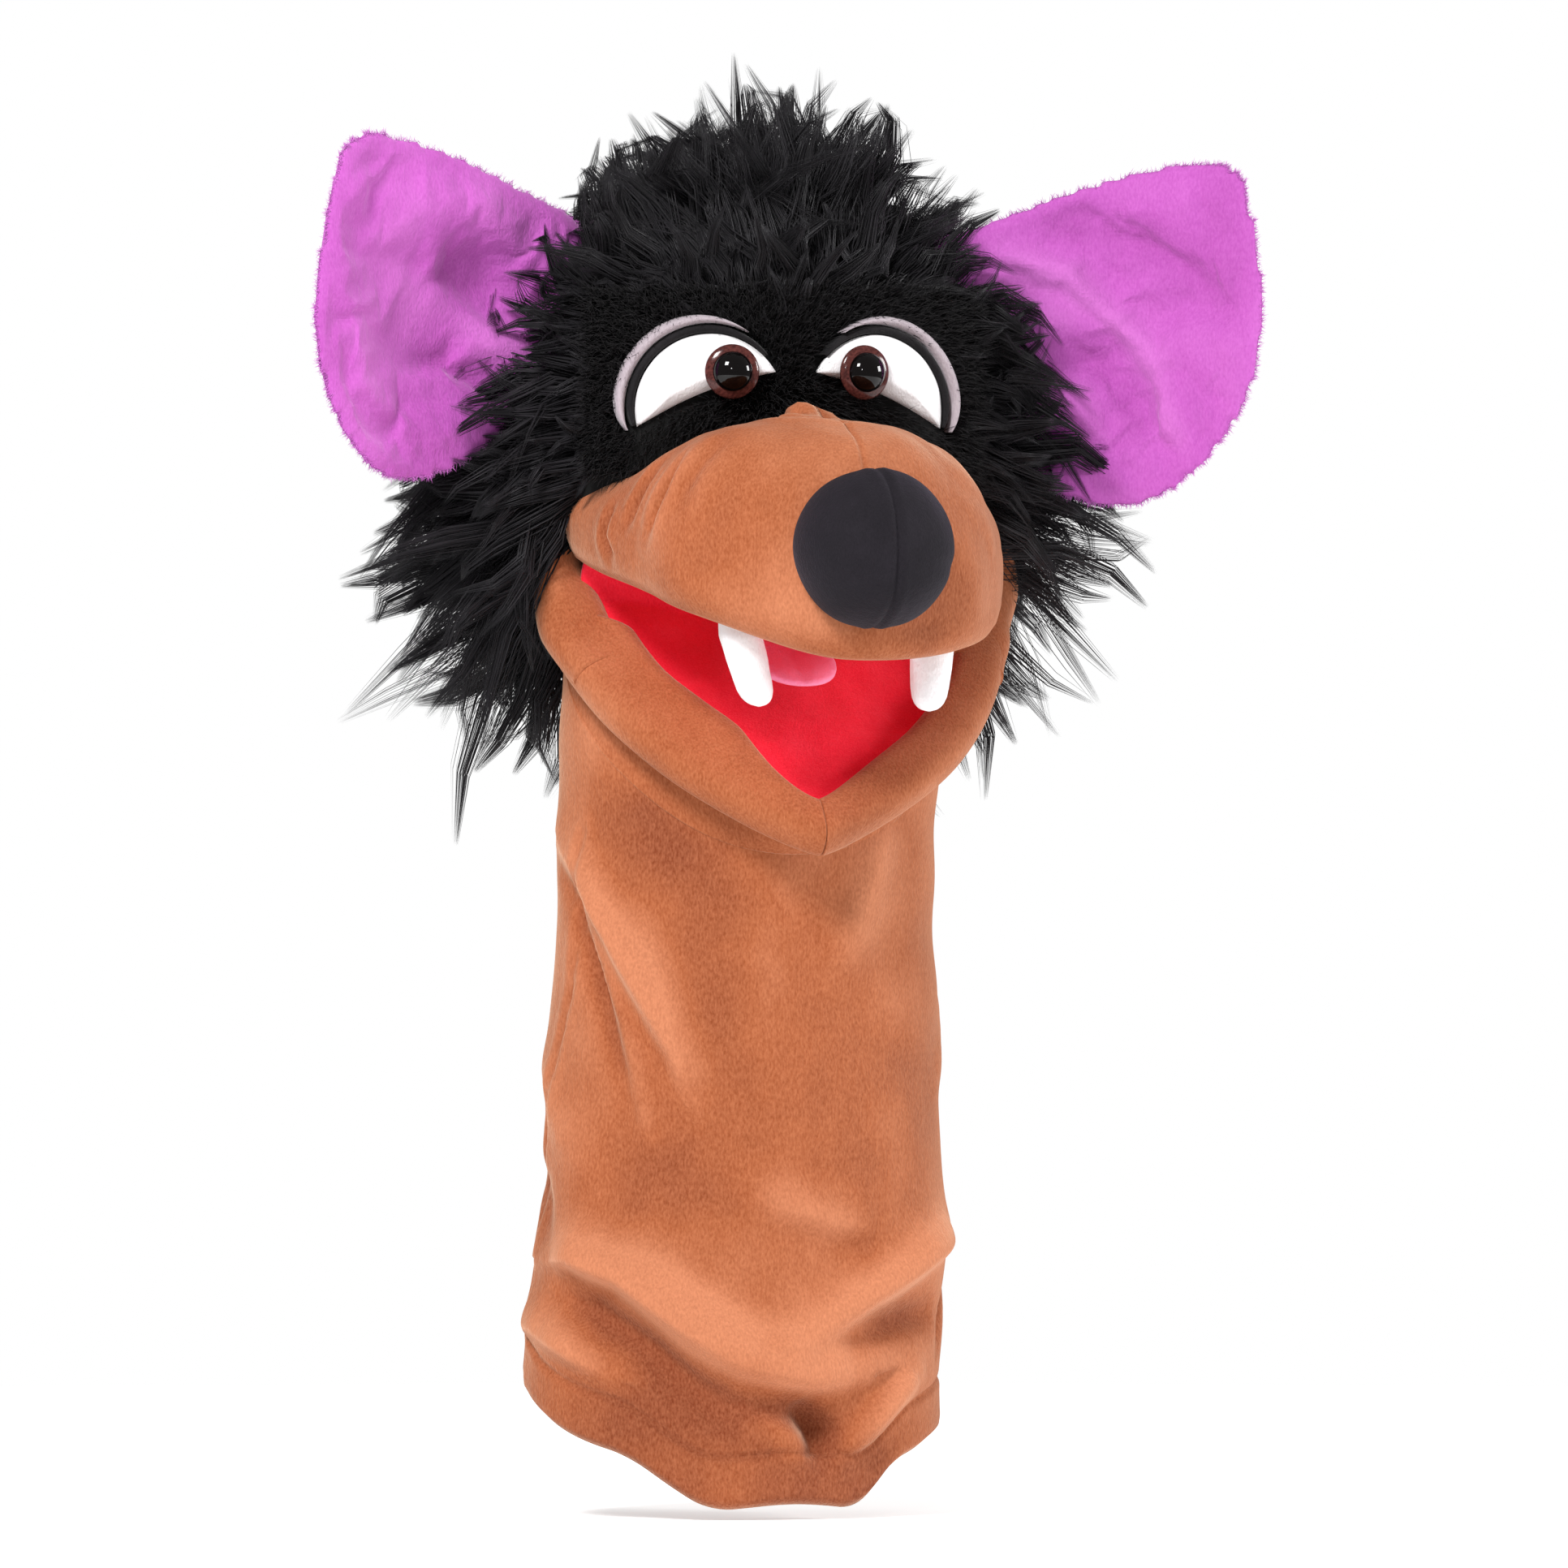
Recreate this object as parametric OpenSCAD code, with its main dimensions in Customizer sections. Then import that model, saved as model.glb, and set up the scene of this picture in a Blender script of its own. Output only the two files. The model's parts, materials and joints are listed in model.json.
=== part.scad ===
// Moving mouth hand puppet: a wolf head on a long plush sleeve.
// The face looks along -Y, +Z is up, and the origin is the middle of the hand opening.

/* [Sleeve] */
// Half width of the sleeve from side to side, at its middle
sleeve_a = 66; // [60:1:70]
// Half depth of the sleeve from front to back, at its middle
sleeve_b = 54; // [48:1:58]
// Extra half width at the hand opening
flare = 4; // [0:0.5:6]
// Thickness of the plush cloth with its backing
cloth = 3; // [2:0.25:3.5]
// Height at which the twisting upper part of the sleeve begins
twist_h = 110; // [95:1:120]
// Height of the upper edge of the twisting part
neck_h = 170; // [150:1:172]
// Height at which the sleeve is sewn to the back of the head
nape_h = 246; // [236:1:248]
// Height of the turned-up hem
hem_h = 15; // [10:1:22]

/* [Mouth] */
// Distance of the jaw fold in front of the middle of the sleeve
fold_y = 6; // [2:1:10]
// Height of the jaw fold
fold_h = 283; // [275:1:290]
// Downward slope of the palate from the fold
palate_slope = 14; // [10:1:16]
// Downward slope of the open jaw from the fold
jaw_slope = 46; // [40:1:48]
// Half width of the jaw at its corners
jaw_w = 78; // [72:1:80]
// Length of the jaw from the fold to the chin
jaw_len = 123; // [112:1:124]
// Width of the rolled lip
lip_w = 17; // [14:1:18]
// Height of the rolled lip of the jaw
lip_h = 15.8; // [13:0.2:16]
// Slope of the tongue above the floor of the mouth
tongue_rise = 22; // [18:1:24]
// Length of the tongue
tongue_len = 52; // [40:1:56]

/* [Head] */
// Half width, half depth and half height of the head under its fur
head_r = [72, 66, 68];
// Height of the middle of the head
head_h = 330; // [328:1:334]
// Distance of the middle of the head behind the middle of the sleeve
head_back = 12; // [10:1:14]
// Length of the fur pile on the crown
crown_pile = 48; // [30:1:52]
// Length of the fur pile on the cheeks
cheek_pile = 50; // [30:1:54]
// Length of the fur pile on the back of the head
nape_pile = 40; // [25:1:45]

/* [Snout] */
// Half width of the snout where it is widest
snout_w = 74; // [66:1:76]
// Distance of the snout's flat front from the middle of the sleeve
snout_front = 118; // [112:1:122]
// Radius of the nose ball
nose_r = 26.5; // [22:0.5:27]
// Height of the middle of the nose
nose_h = 292.5; // [290:0.5:294]
// Length of a fang
fang_len = 24; // [18:1:28]
// Half of the distance between the fangs
fang_x = 33; // [28:1:36]

/* [Eyes] */
// Radius of the white eye pad
pad_r = 25; // [24:0.5:27]
// Diameter of the plastic safety eye
eye_d = 18; // [15:0.5:20]
// Half of the distance between the plastic eyes
eye_x = 21.5; // [18:0.5:24]
// Height of the plastic eyes
eye_h = 351.5; // [349:0.5:353]
// Angle that each eye pad turns outwards
eye_turn = 10; // [6:1:12]

/* [Ears] */
// Distance of the ear's sewn edge from the middle of the head
ear_x = 66; // [64:1:68]
// Angle that the ears sweep forwards
ear_sweep = 22; // [16:1:24]
// Thickness of each plush layer of an ear
ear_cloth = 2.5; // [2:0.25:3]
// Thickness of the wadding in an ear
ear_wadding = 2.8; // [2:0.2:3]
// How much lower the right ear is sewn on
ear_drop = 7; // [0:1:8]

/* [Hidden] */

brown = "peru";
black = "#1c191c";
red = "crimson";
purple = "orchid";
lining = "lightgray";
round_fn = 48;
gap = 0.3;
// Slope of the hand opening from side to side and from front to back
hem_tilt = [-0.2, 0.25];
// The sleeve's half width and half depth at each height
sleeve_wide = [[-30, sleeve_a + flare], [60, sleeve_a + flare - 1], [twist_h, sleeve_a],
    [neck_h, sleeve_a - 3], [nape_h, sleeve_a - 4]];
sleeve_deep = [[-30, sleeve_b + 2], [twist_h, sleeve_b], [neck_h, sleeve_b - 2], [nape_h, sleeve_b + 1]];
// The snout's half width and its top, at each distance in front of the sleeve's middle
snout_back = 31.5;
snout_wide = [[snout_back, snout_w - 4], [45, snout_w], [60, snout_w - 1], [75, snout_w - 6],
    [88, snout_w - 15], [100, snout_w - 23], [110, snout_w - 32], [snout_front, snout_w - 42]];
snout_top = [[snout_back, 316], [50, 322], [56, 333], [64, 341], [74, 341], [86, 337], [98, 332],
    [108, 327], [snout_front, 320]];
snout_stations = [snout_back, 42, 50, 56, 64, 74, 86, 98, 108, snout_front];
snout_power = 2.4;
// Heights above the palate's plane of the lip, the lining and the board
lip_clear = 0.6;
upper_lip_h = 9;
palate_at = 5.2;
lining_t = 1.6;
board_t = 2;
pocket_at = 9.8;
pocket_size = [80, 24];
pocket_len = 108;
pocket_wall = 2;
upper_lip_w = 14;
upper_lip_len = 122;
upper_lip_half = 73;
thumb_size = [40, 20];
thumb_len = 70;
floor_at = -8.8;
fan_at = 45;
stuffing_floor = 296.3;
face_y = -30;
brow_top = 373;
brow_bottom = 325;
pad_at = [28, 339];
outline_w = 3.4;
lid_w = 4;
hand_room = [86, 48, 26];
pad_t = 7;
eye_plane = -43;
nose_mid = 12;
brow_w = 62;
brow_stand = 0.6;
washer_d = 18;
washer_t = 2;
washer_at = -6.6;
shank_r = 2.3;
// Underside of the throat where it is sewn below the jaw, its reach and its half width
throat_under = -19;
throat_reach = 106;
throat_half = 66;
// The cloth behind each corner of the mouth
cheek_size = [6, 7.6, 27];
cheek_at = [67, -29, 272];
fang_top_r = 7.4;
fang_ahead = 86;
fang_tip_r = 6;
dome_rise = 5.4;
tongue_half = 15;
tongue_t = 7;
tongue_root = 12;

// ---------- shapes made from functions ----------

function flat(rows) = [for (row = rows) for (p = row) p];
function mix(a, b, t) = a + (b - a) * t;
function steps(a, b, n) = [for (i = [0 : n]) mix(a, b, i / n)];
function power(v, p) = sign(v) * pow(abs(v), p);

// Two triangles for each cell of a grid of points
function cells(rows, cols, first, turned) = [
    for (i = [0 : rows - 2]) for (j = [0 : cols - 2])
        let (a = first + i * cols + j, b = a + 1, c = a + cols, d = c + 1)
        for (t = turned ? [[a, b, c], [b, d, c]] : [[a, c, b], [b, c, d]]) t
];
// The border of a grid, once round
function border(rows, cols) = concat(
    [for (j = [0 : cols - 1]) j],
    [for (i = [1 : rows - 1]) i * cols + cols - 1],
    [for (j = [cols - 2 : -1 : 0]) (rows - 1) * cols + j],
    [for (i = [rows - 2 : -1 : 1]) i * cols]
);
function wall(ring, shift) = [
    for (k = [0 : len(ring) - 1])
        let (a = ring[k], b = ring[(k + 1) % len(ring)])
        for (t = [[a, b, b + shift], [a, b + shift, a + shift]]) t
];

// A bent sheet with thickness, between two grids of points
module shell(outer, inner) {
    rows = len(outer);
    cols = len(outer[0]);
    n = rows * cols;
    polyhedron(
        points = concat(flat(outer), flat(inner)),
        faces = concat(cells(rows, cols, 0, false), cells(rows, cols, n, true), wall(border(rows, cols), n))
    );
}

// A closed solid through flat rings with the same number of points
module loft(rings) {
    m = len(rings[0]);
    last = (len(rings) - 1) * m;
    sides = [
        for (i = [0 : len(rings) - 2]) for (j = [0 : m - 1])
            let (a = i * m + j, b = i * m + (j + 1) % m, c = a + m, d = b + m)
            for (t = [[a, c, b], [b, c, d]]) t
    ];
    polyhedron(
        points = flat(rings),
        faces = concat(sides, [[for (j = [0 : m - 1]) j]], [[for (j = [m - 1 : -1 : 0]) last + j]])
    );
}

module stadium(size) {
    square([size[0] - size[1], size[1]], center = true);
    for (side = [-1, 1]) translate([side * (size[0] - size[1]) / 2, 0]) circle(d = size[1], $fn = round_fn);
}

// ---------- frames ----------

// A frame on the jaw fold whose XY plane slopes down towards the front
module on_fold(slope) {
    translate([0, -fold_y, fold_h]) rotate([slope, 0, 0]) children();
}
// A point of such a frame in the puppet's own frame
function fold_point(slope, x, ahead, up) = [
    x,
    -fold_y - ahead * cos(slope) - up * sin(slope),
    fold_h - ahead * sin(slope) + up * cos(slope)
];
module both_sides(side) {
    if (side < 0) mirror([1, 0, 0]) children();
    else children();
}

// ---------- sleeve and neck ----------

function hem_z(x, y) = hem_tilt[0] * x + hem_tilt[1] * y;
function oval(z, angle, inset) = [
    (lookup(z, sleeve_wide) - inset) * cos(angle),
    (lookup(z, sleeve_deep) - inset) * sin(angle)
];
// A stretch of the sleeve from z0, or from the tilted hem, up to z1
function sleeve_grid(z0, z1, from, to, inset, hem = 0) = [
    for (t = steps(0, 1, 5)) [
        for (angle = steps(from, to, 16))
            let (
                low = oval(z0, angle, inset),
                start = z0 + hem * hem_z(low[0], low[1]),
                z = mix(start, z1, t),
                p = oval(z, angle, inset)
            )
            [p[0], p[1], z]
    ]
];
module sleeve_piece(z0, z1, from, to, hem = 0, inset = 0, thick = cloth) {
    shell(
        sleeve_grid(z0, z1, from, to, inset, hem),
        sleeve_grid(z0, z1, from, to, inset + thick, hem)
    );
}
module sleeve_front_panel() {
    color(brown) sleeve_piece(0, twist_h, 180, 360, hem = 1);
}
module sleeve_back_panel() {
    color(brown) sleeve_piece(0, twist_h, 0, 180, hem = 1);
}
// The turned-up cloth inside the hand opening, in two halves that meet at the side seams
module hem_facing() {
    lift = 0.5;
    color(brown) for (half = [0, 180]) {
        shell(
            hem_grid(half + 1, half + 179, cloth + 2 * gap, lift),
            hem_grid(half + 1, half + 179, 2 * cloth, lift)
        );
    }
}
function hem_grid(from, to, inset, lift) = [
    for (t = [0, 0.5, 1]) [
        for (angle = steps(from, to, 16))
            let (
                low = oval(0, angle, inset),
                z = hem_z(low[0], low[1]) + lift + t * hem_h,
                p = oval(z, angle, inset)
            )
            [p[0], p[1], z]
    ]
];
module neck_front_panel() {
    color(brown) sleeve_piece(twist_h + gap, neck_h, 180, 360);
}
module neck_back_panel() {
    color(brown) sleeve_piece(twist_h + gap, neck_h, 0, 180);
}
// The cloth over the wrist at the back and the sides, which folds as the head nods
module neck_gather() {
    color(brown) sleeve_piece(neck_h + gap, nape_h, -11, 191);
}
// The cloth from the sleeve up to the underside of the jaw
function throat_grid(inset) = [
    for (t = steps(0, 1, 4)) [
        for (turn = steps(-72, 72, 12))
            let (
                low = oval(neck_h, 270 + turn, inset),
                ahead = throat_reach * cos(turn) - inset,
                wide = pow(1 - pow(min(ahead / throat_reach, 1), 2), 0.8),
                side = sign(turn) * (throat_half - inset) * wide,
                high = fold_point(jaw_slope, side, ahead, throat_under)
            )
            mix([low[0], low[1], neck_h + gap], high, t)
    ]
];
module throat_panel() {
    color(brown) shell(throat_grid(0), throat_grid(cloth));
}

// ---------- head ----------

// Distance from the head's middle to its skin in a direction
function skin(d) = 1 / sqrt(pow(d[0] / head_r[0], 2) + pow(d[1] / head_r[1], 2) + pow(d[2] / head_r[2], 2));
function unit(v) = v / norm(v);
function on_head(d, out) = [0, head_back, head_h] + unit(d) * (skin(unit(d)) + out);
function towards(az, el) = [cos(el) * sin(az), -cos(el) * cos(az), sin(el)];
// A patch of fur cloth: az is measured from the face, el from the horizon
function fur_grid(az0, az1, el0, el1, n, pile) = [
    for (el = steps(el0, el1, n[1])) [
        for (az = steps(az0, az1, n[0]))
            let (
                edge = max(abs(2 * (az - az0) / (az1 - az0) - 1), abs(2 * (el - el0) / (el1 - el0) - 1)),
                out = pile > 1 ? pile * (1 - 0.3 * pow(edge, 3)) : pile
            )
            on_head(towards(az, el), out)
    ]
];
module fur_patch(az0, az1, el0, el1, n, pile) {
    color(black) shell(fur_grid(az0, az1, el0, el1, n, pile), fur_grid(az0, az1, el0, el1, n, 1));
}
module crown_fur() {
    function grid(pile) = [
        for (b = steps(-45, 45, 9)) [
            for (a = steps(-36, 36, 8))
                let (edge = max(abs(a) / 36, abs(b) / 45))
                on_head([tan(a), tan(b), 1], pile > 1 ? pile * (1 - 0.35 * pow(edge, 3)) : pile)
        ]
    ];
    color(black) shell(grid(crown_pile), grid(1));
}
module nape_fur() {
    fur_patch(118, 242, -48, 36, [13, 9], nape_pile);
}
module cheek_fur(side) {
    both_sides(side) fur_patch(84, 115, -46, -12, [5, 5], cheek_pile);
}
module pocket_room() {
    on_fold(palate_slope) translate([0, 12, pocket_at + pocket_size[1] / 2]) rotate([90, 0, 0])
        linear_extrude(pocket_len + gap) stadium([pocket_size[0] + 2 * gap, pocket_size[1] + 2 * gap]);
}
// The filling above the hand, flat behind the face and over the palm
module head_stuffing() {
    heights = [stuffing_floor, 310, 330, 348, 362, 374, 384, 391, 395, 397];
    rings = [
        for (z = heights)
            let (k = sqrt(1 - pow((z - head_h) / head_r[2], 2)))
            [
                for (angle = [0 : 12 : 348])
                    [
                        head_r[0] * k * cos(angle),
                        max(head_back + head_r[1] * k * sin(angle), face_y),
                        z
                    ]
            ]
    ];
    color("white") difference() {
        loft(rings);
        pocket_room();
        translate([-hand_room[0] / 2, 0, stuffing_floor - 1]) cube(hand_room);
    }
}
// Where the eye pads stand: origin on the brow's front, X outwards, Y up, Z forwards
module eye_frame(side) {
    both_sides(side) translate([eye_x, eye_plane, 0]) rotate([0, 0, eye_turn]) rotate([90, 0, 0])
        translate([-eye_x, 0, 0]) children();
}
module shank_hole(side) {
    eye_frame(side) translate([eye_x, eye_h, -14]) cylinder(r = shank_r + gap, h = 30, $fn = 32);
}
// The short black fur around and between the eyes, whose front follows the backs of the eye pads
module brow_panel() {
    front = eye_plane + brow_stand;
    side = front + (brow_w - eye_x) * tan(eye_turn);
    back = face_y - gap;
    color(black) difference() {
        translate([0, 0, brow_bottom]) linear_extrude(brow_top - brow_bottom) polygon([
            [-brow_w, back], [-brow_w, side], [-eye_x / 2, front + 1],
            [eye_x / 2, front + 1], [brow_w, side], [brow_w, back]
        ]);
        for (s = [-1, 1]) {
            shank_hole(s);
            eye_frame(s) translate([eye_x, eye_h, washer_at - 0.4])
                cylinder(d = washer_d + 1, h = washer_t + 1, $fn = round_fn);
        }
    }
}
module cheek_panel(side) {
    both_sides(side) color(brown) translate(cheek_at) cube(cheek_size);
}

// ---------- snout and nose ----------

// The underside of the snout at a distance in front of the sleeve's middle
function snout_floor(ahead, up) =
    let (s = (ahead - fold_y - up * sin(palate_slope)) / cos(palate_slope))
    fold_h - s * sin(palate_slope) + up * cos(palate_slope);
function snout_point(ahead, angle, inset, up) =
    let (
        w = lookup(ahead, snout_wide) - inset,
        z0 = snout_floor(ahead, up),
        z1 = lookup(ahead, snout_top) - inset
    )
    [w * power(cos(angle), 2 / snout_power), -ahead, z0 + (z1 - z0) * power(sin(angle), 2 / snout_power)];
function snout_grid(inset) = [
    for (ahead = snout_stations) [for (angle = steps(0, 180, 18)) snout_point(ahead, angle, inset, 10)]
];
module snout_cover() {
    color(brown) shell(snout_grid(0), snout_grid(cloth));
}
module snout_stuffing() {
    rings = [
        for (ahead = snout_stations)
            [for (angle = steps(0, 180, 18)) snout_point(ahead, angle, cloth + gap, 10.2)]
    ];
    color("white") difference() {
        loft(rings);
        pocket_room();
    }
}
// A point of a lip or board outline: t runs from the corner at 0 to the middle of the front at 90
function outline(half, long, p, q, t) = [half * pow(cos(t), 2 * q), long * pow(sin(t), 2 / p)];
function jaw_outline(half, long, t) = outline(half, long, 2, 0.8, t);
function snout_outline(half, long, t) = outline(half, long, 2.6, 0.6, t);
// A rolled lip's section, across a fan of directions from a point in the mouth
function roll(p, half_w, half_h, up) =
    let (across = unit([p[0], p[1] - fan_at]))
    [
        for (angle = [0 : 30 : 330])
            let (w = half_w * power(cos(angle), 0.75), h = half_h * power(sin(angle), 0.75))
            [p[0] + across[0] * w, -(p[1] + across[1] * w), up + h]
    ];
module upper_lip() {
    half = upper_lip_w / 2;
    turns = concat([for (t = steps(8, 84, 9)) t], [90], [for (t = steps(96, 172, 9)) t]);
    color(brown) on_fold(palate_slope) loft([
        for (t = turns)
            let (
                p = snout_outline(upper_lip_half - half, upper_lip_len - half, t > 90 ? 180 - t : t),
                q = [t > 90 ? -p[0] : t == 90 ? 0 : p[0], p[1]]
            )
            roll(q, half, (upper_lip_h - lip_clear) / 2, (upper_lip_h + lip_clear) / 2)
    ]);
}
module plate(points, at, thick) {
    left = [for (i = [len(points) - 2 : -1 : 0]) [-points[i][0], points[i][1]]];
    translate([0, 0, at]) linear_extrude(thick) polygon([for (p = concat(points, left)) [p[0], -p[1]]]);
}
function palate_shape() = [
    for (t = concat([13], steps(20, 80, 8), [90])) snout_outline(56, 105, t)
];
module palate_lining() {
    color(red) on_fold(palate_slope) plate(palate_shape(), palate_at, lining_t);
}
module upper_mouth_board() {
    color("burlywood") on_fold(palate_slope) plate(palate_shape(), palate_at + lining_t + 0.2, board_t);
}
module glove_pocket(size, long) {
    color(lining) rotate([90, 0, 0]) difference() {
        linear_extrude(long) stadium(size);
        translate([0, 0, -1]) linear_extrude(long + 1 - pocket_wall)
            stadium([size[0] - 2 * pocket_wall, size[1] - 2 * pocket_wall]);
    }
}
module finger_pocket() {
    on_fold(palate_slope) translate([0, 12, pocket_at + pocket_size[1] / 2])
        glove_pocket(pocket_size, pocket_len);
}
module mouth_fold() {
    color(red) translate([-62, -fold_y, fold_h]) rotate([0, 90, 0]) cylinder(r = 3, h = 124, $fn = 32);
}
function nose_arc(r, deep) = [for (u = steps(-27, 90, 16)) [r * cos(u), nose_mid + deep * sin(u)]];
module on_snout_front() {
    translate([0, -snout_front - gap, nose_h]) rotate([90, 0, 0]) children();
}
module nose_cover() {
    arc = nose_arc(nose_r, nose_r);
    inner = nose_arc(nose_r - 2, nose_r - 2);
    color(black) on_snout_front() rotate_extrude($fn = 64) polygon(concat(
        [[arc[0][0], 0]], arc, [for (i = [len(inner) - 1 : -1 : 0]) inner[i]], [[inner[0][0], 0]]
    ));
}
module nose_stuffing() {
    color("white") on_snout_front() rotate_extrude($fn = 64)
        polygon(concat([[0, 0.1], [nose_r - 5, 0.1]], nose_arc(nose_r - 2.4, nose_r - 2.4)));
}
module fang(side) {
    arc = [for (u = steps(0, 90, 6)) [fang_tip_r * cos(u), fang_tip_r - fang_len - fang_tip_r * sin(u)]];
    section = concat([[0, 0], [fang_top_r, 0], [fang_top_r, -fang_tip_r]], arc);
    top = fold_point(palate_slope, side * fang_x, fang_ahead, lip_clear - 2);
    color("white") translate(top) rotate_extrude($fn = 40) polygon(section);
}

// ---------- eyes ----------

// A slice of a ring between two angles, measured from outwards to upwards
module arc_band(r0, r1, a0, a1) {
    polygon(concat(
        [for (a = steps(a0, a1, 20)) pad_at + r1 * [cos(a), sin(a)]],
        [for (a = steps(a1, a0, 20)) pad_at + r0 * [cos(a), sin(a)]]
    ));
}
module eye_white(side) {
    color("white") difference() {
        eye_frame(side) linear_extrude(pad_t)
            polygon([for (a = steps(-13, 150, 28)) pad_at + pad_r * [cos(a), sin(a)]]);
        shank_hole(side);
    }
}
module eye_outline(side) {
    color(black) eye_frame(side) linear_extrude(4) arc_band(pad_r + 0.2, pad_r + outline_w, -8, 128);
}
module eyelid(side) {
    inner = pad_r + outline_w + 0.2;
    color("darkgray") eye_frame(side) linear_extrude(6) arc_band(inner, inner + lid_w, 4, 122);
}
module eye_iris(side) {
    color("#5a2d2d") eye_frame(side) translate([eye_x, eye_h, 0]) {
        translate([0, 0, pad_t + 0.1]) cylinder(d = eye_d, h = 1.4, $fn = round_fn);
        translate([0, 0, washer_at - gap]) cylinder(r = shank_r, h = pad_t - washer_at + 1, $fn = 32);
    }
}
module eye_dome(side) {
    r = eye_d / 2 - 0.2;
    arc = [for (u = steps(0, 90, 8)) [r * cos(u), dome_rise * sin(u)]];
    color("black") eye_frame(side) translate([eye_x, eye_h, pad_t + 1.6]) rotate_extrude($fn = round_fn)
        polygon(concat([[0, 0]], arc));
}
// The two washers that lock the plastic eyes behind the brow cloth
module eye_washers() {
    color("whitesmoke") for (side = [-1, 1])
        eye_frame(side) translate([eye_x, eye_h, washer_at]) difference() {
            cylinder(d = washer_d, h = washer_t, $fn = round_fn);
            translate([0, 0, -1]) cylinder(r = shank_r + 0.1, h = washer_t + 2, $fn = 32);
        }
}

// ---------- jaw and tongue ----------

module lip(side) {
    half = lip_w / 2;
    turns = steps(13, 90, 14);
    both_sides(side) color(brown) on_fold(jaw_slope) loft([
        for (t = turns)
            let (p = jaw_outline(jaw_w - half, jaw_len - half, t))
            roll([t == 90 ? 0 : p[0], p[1]] + (t == 90 ? [0.1, 0] : [0, 0]), half, lip_h / 2,
                -lip_clear - lip_h / 2)
    ]);
}
function floor_shape() = [
    for (t = concat([7], steps(12, 84, 9), [90])) jaw_outline(57, 100, t)
];
module mouth_floor_lining() {
    color(red) on_fold(jaw_slope) plate(floor_shape(), floor_at - lining_t, lining_t);
}
module lower_mouth_board() {
    color("burlywood") on_fold(jaw_slope) plate(floor_shape(), floor_at - lining_t - 0.2 - board_t, board_t);
}
module thumb_pocket() {
    on_fold(jaw_slope) translate([0, -14, floor_at - 5 - thumb_size[1] / 2])
        glove_pocket(thumb_size, thumb_len);
}
module tongue() {
    long = tongue_len - tongue_half;
    color("hotpink") on_fold(jaw_slope) translate([0, -tongue_root, -3]) rotate([-tongue_rise, 0, 0]) {
        translate([0, 0, -tongue_t / 2]) linear_extrude(tongue_t) {
            translate([2 - tongue_half, -long]) square([2 * tongue_half - 4, long]);
            translate([0, -long]) circle(r = tongue_half, $fn = round_fn);
        }
    }
}

// ---------- ears ----------

// The ear's outline: outwards from its sewn edge, and height
ear_shape = [
    [-6, 397], [20, 408], [44, 418], [70, 423], [84, 424], [93, 423], [99, 417], [104, 402],
    [107, 378], [104, 352], [97, 335], [88, 322], [76, 313], [60, 311], [31, 322], [10, 338], [2, 362]
];
module ear_layer(side, at, thick) {
    drop = side > 0 ? ear_drop / 2 : -ear_drop / 2;
    both_sides(side) translate([ear_x, 0, -drop]) rotate([0, 0, -ear_sweep]) translate([0, -at, 0])
        rotate([90, 0, 0]) linear_extrude(thick) polygon(ear_shape);
}
module ear_front(side) {
    color(purple) ear_layer(side, ear_wadding / 2 + 0.1, ear_cloth);
}
module ear_wadding_layer(side) {
    color("white") ear_layer(side, -ear_wadding / 2, ear_wadding);
}
module ear_back(side) {
    color(purple) ear_layer(side, -ear_wadding / 2 - 0.1 - ear_cloth, ear_cloth);
}

// ---------- nodes ----------

sleeve_front_panel();
sleeve_back_panel();
hem_facing();
neck_front_panel();
neck_back_panel();
neck_gather();
throat_panel();
head_stuffing();
brow_panel();
crown_fur();
nape_fur();
cheek_fur(-1);  // cheek_fur_left
cheek_fur(1);  // cheek_fur_right
cheek_panel(-1);  // cheek_panel_left
cheek_panel(1);  // cheek_panel_right
snout_cover();
snout_stuffing();
upper_lip();
nose_cover();
nose_stuffing();
palate_lining();
upper_mouth_board();
finger_pocket();
mouth_fold();
fang(-1);  // fang_left
fang(1);  // fang_right
eye_white(-1);  // eye_white_left
eye_white(1);  // eye_white_right
eye_outline(-1);  // eye_outline_left
eye_outline(1);  // eye_outline_right
eyelid(-1);  // eyelid_left
eyelid(1);  // eyelid_right
eye_dome(-1);  // eye_dome_left
eye_dome(1);  // eye_dome_right
eye_iris(-1);  // eye_iris_left
eye_iris(1);  // eye_iris_right
eye_washers();
lip(-1);  // lip_left
lip(1);  // lip_right
mouth_floor_lining();
lower_mouth_board();
thumb_pocket();
tongue();
ear_front(-1);  // ear_front_left
ear_front(1);  // ear_front_right
ear_wadding_layer(-1);  // ear_wadding_left
ear_wadding_layer(1);  // ear_wadding_right
ear_back(-1);  // ear_back_left
ear_back(1);  // ear_back_right
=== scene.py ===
"""The looks of a moving mouth puppet: a plush wolf head on a long sleeve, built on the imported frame.

Lengths are millimetres in the puppet's own frame, with +Z up and the face looking along -Y.
"""
import json
import math

import bmesh
import bpy
import numpy as np
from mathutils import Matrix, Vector
from mathutils.kdtree import KDTree


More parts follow.
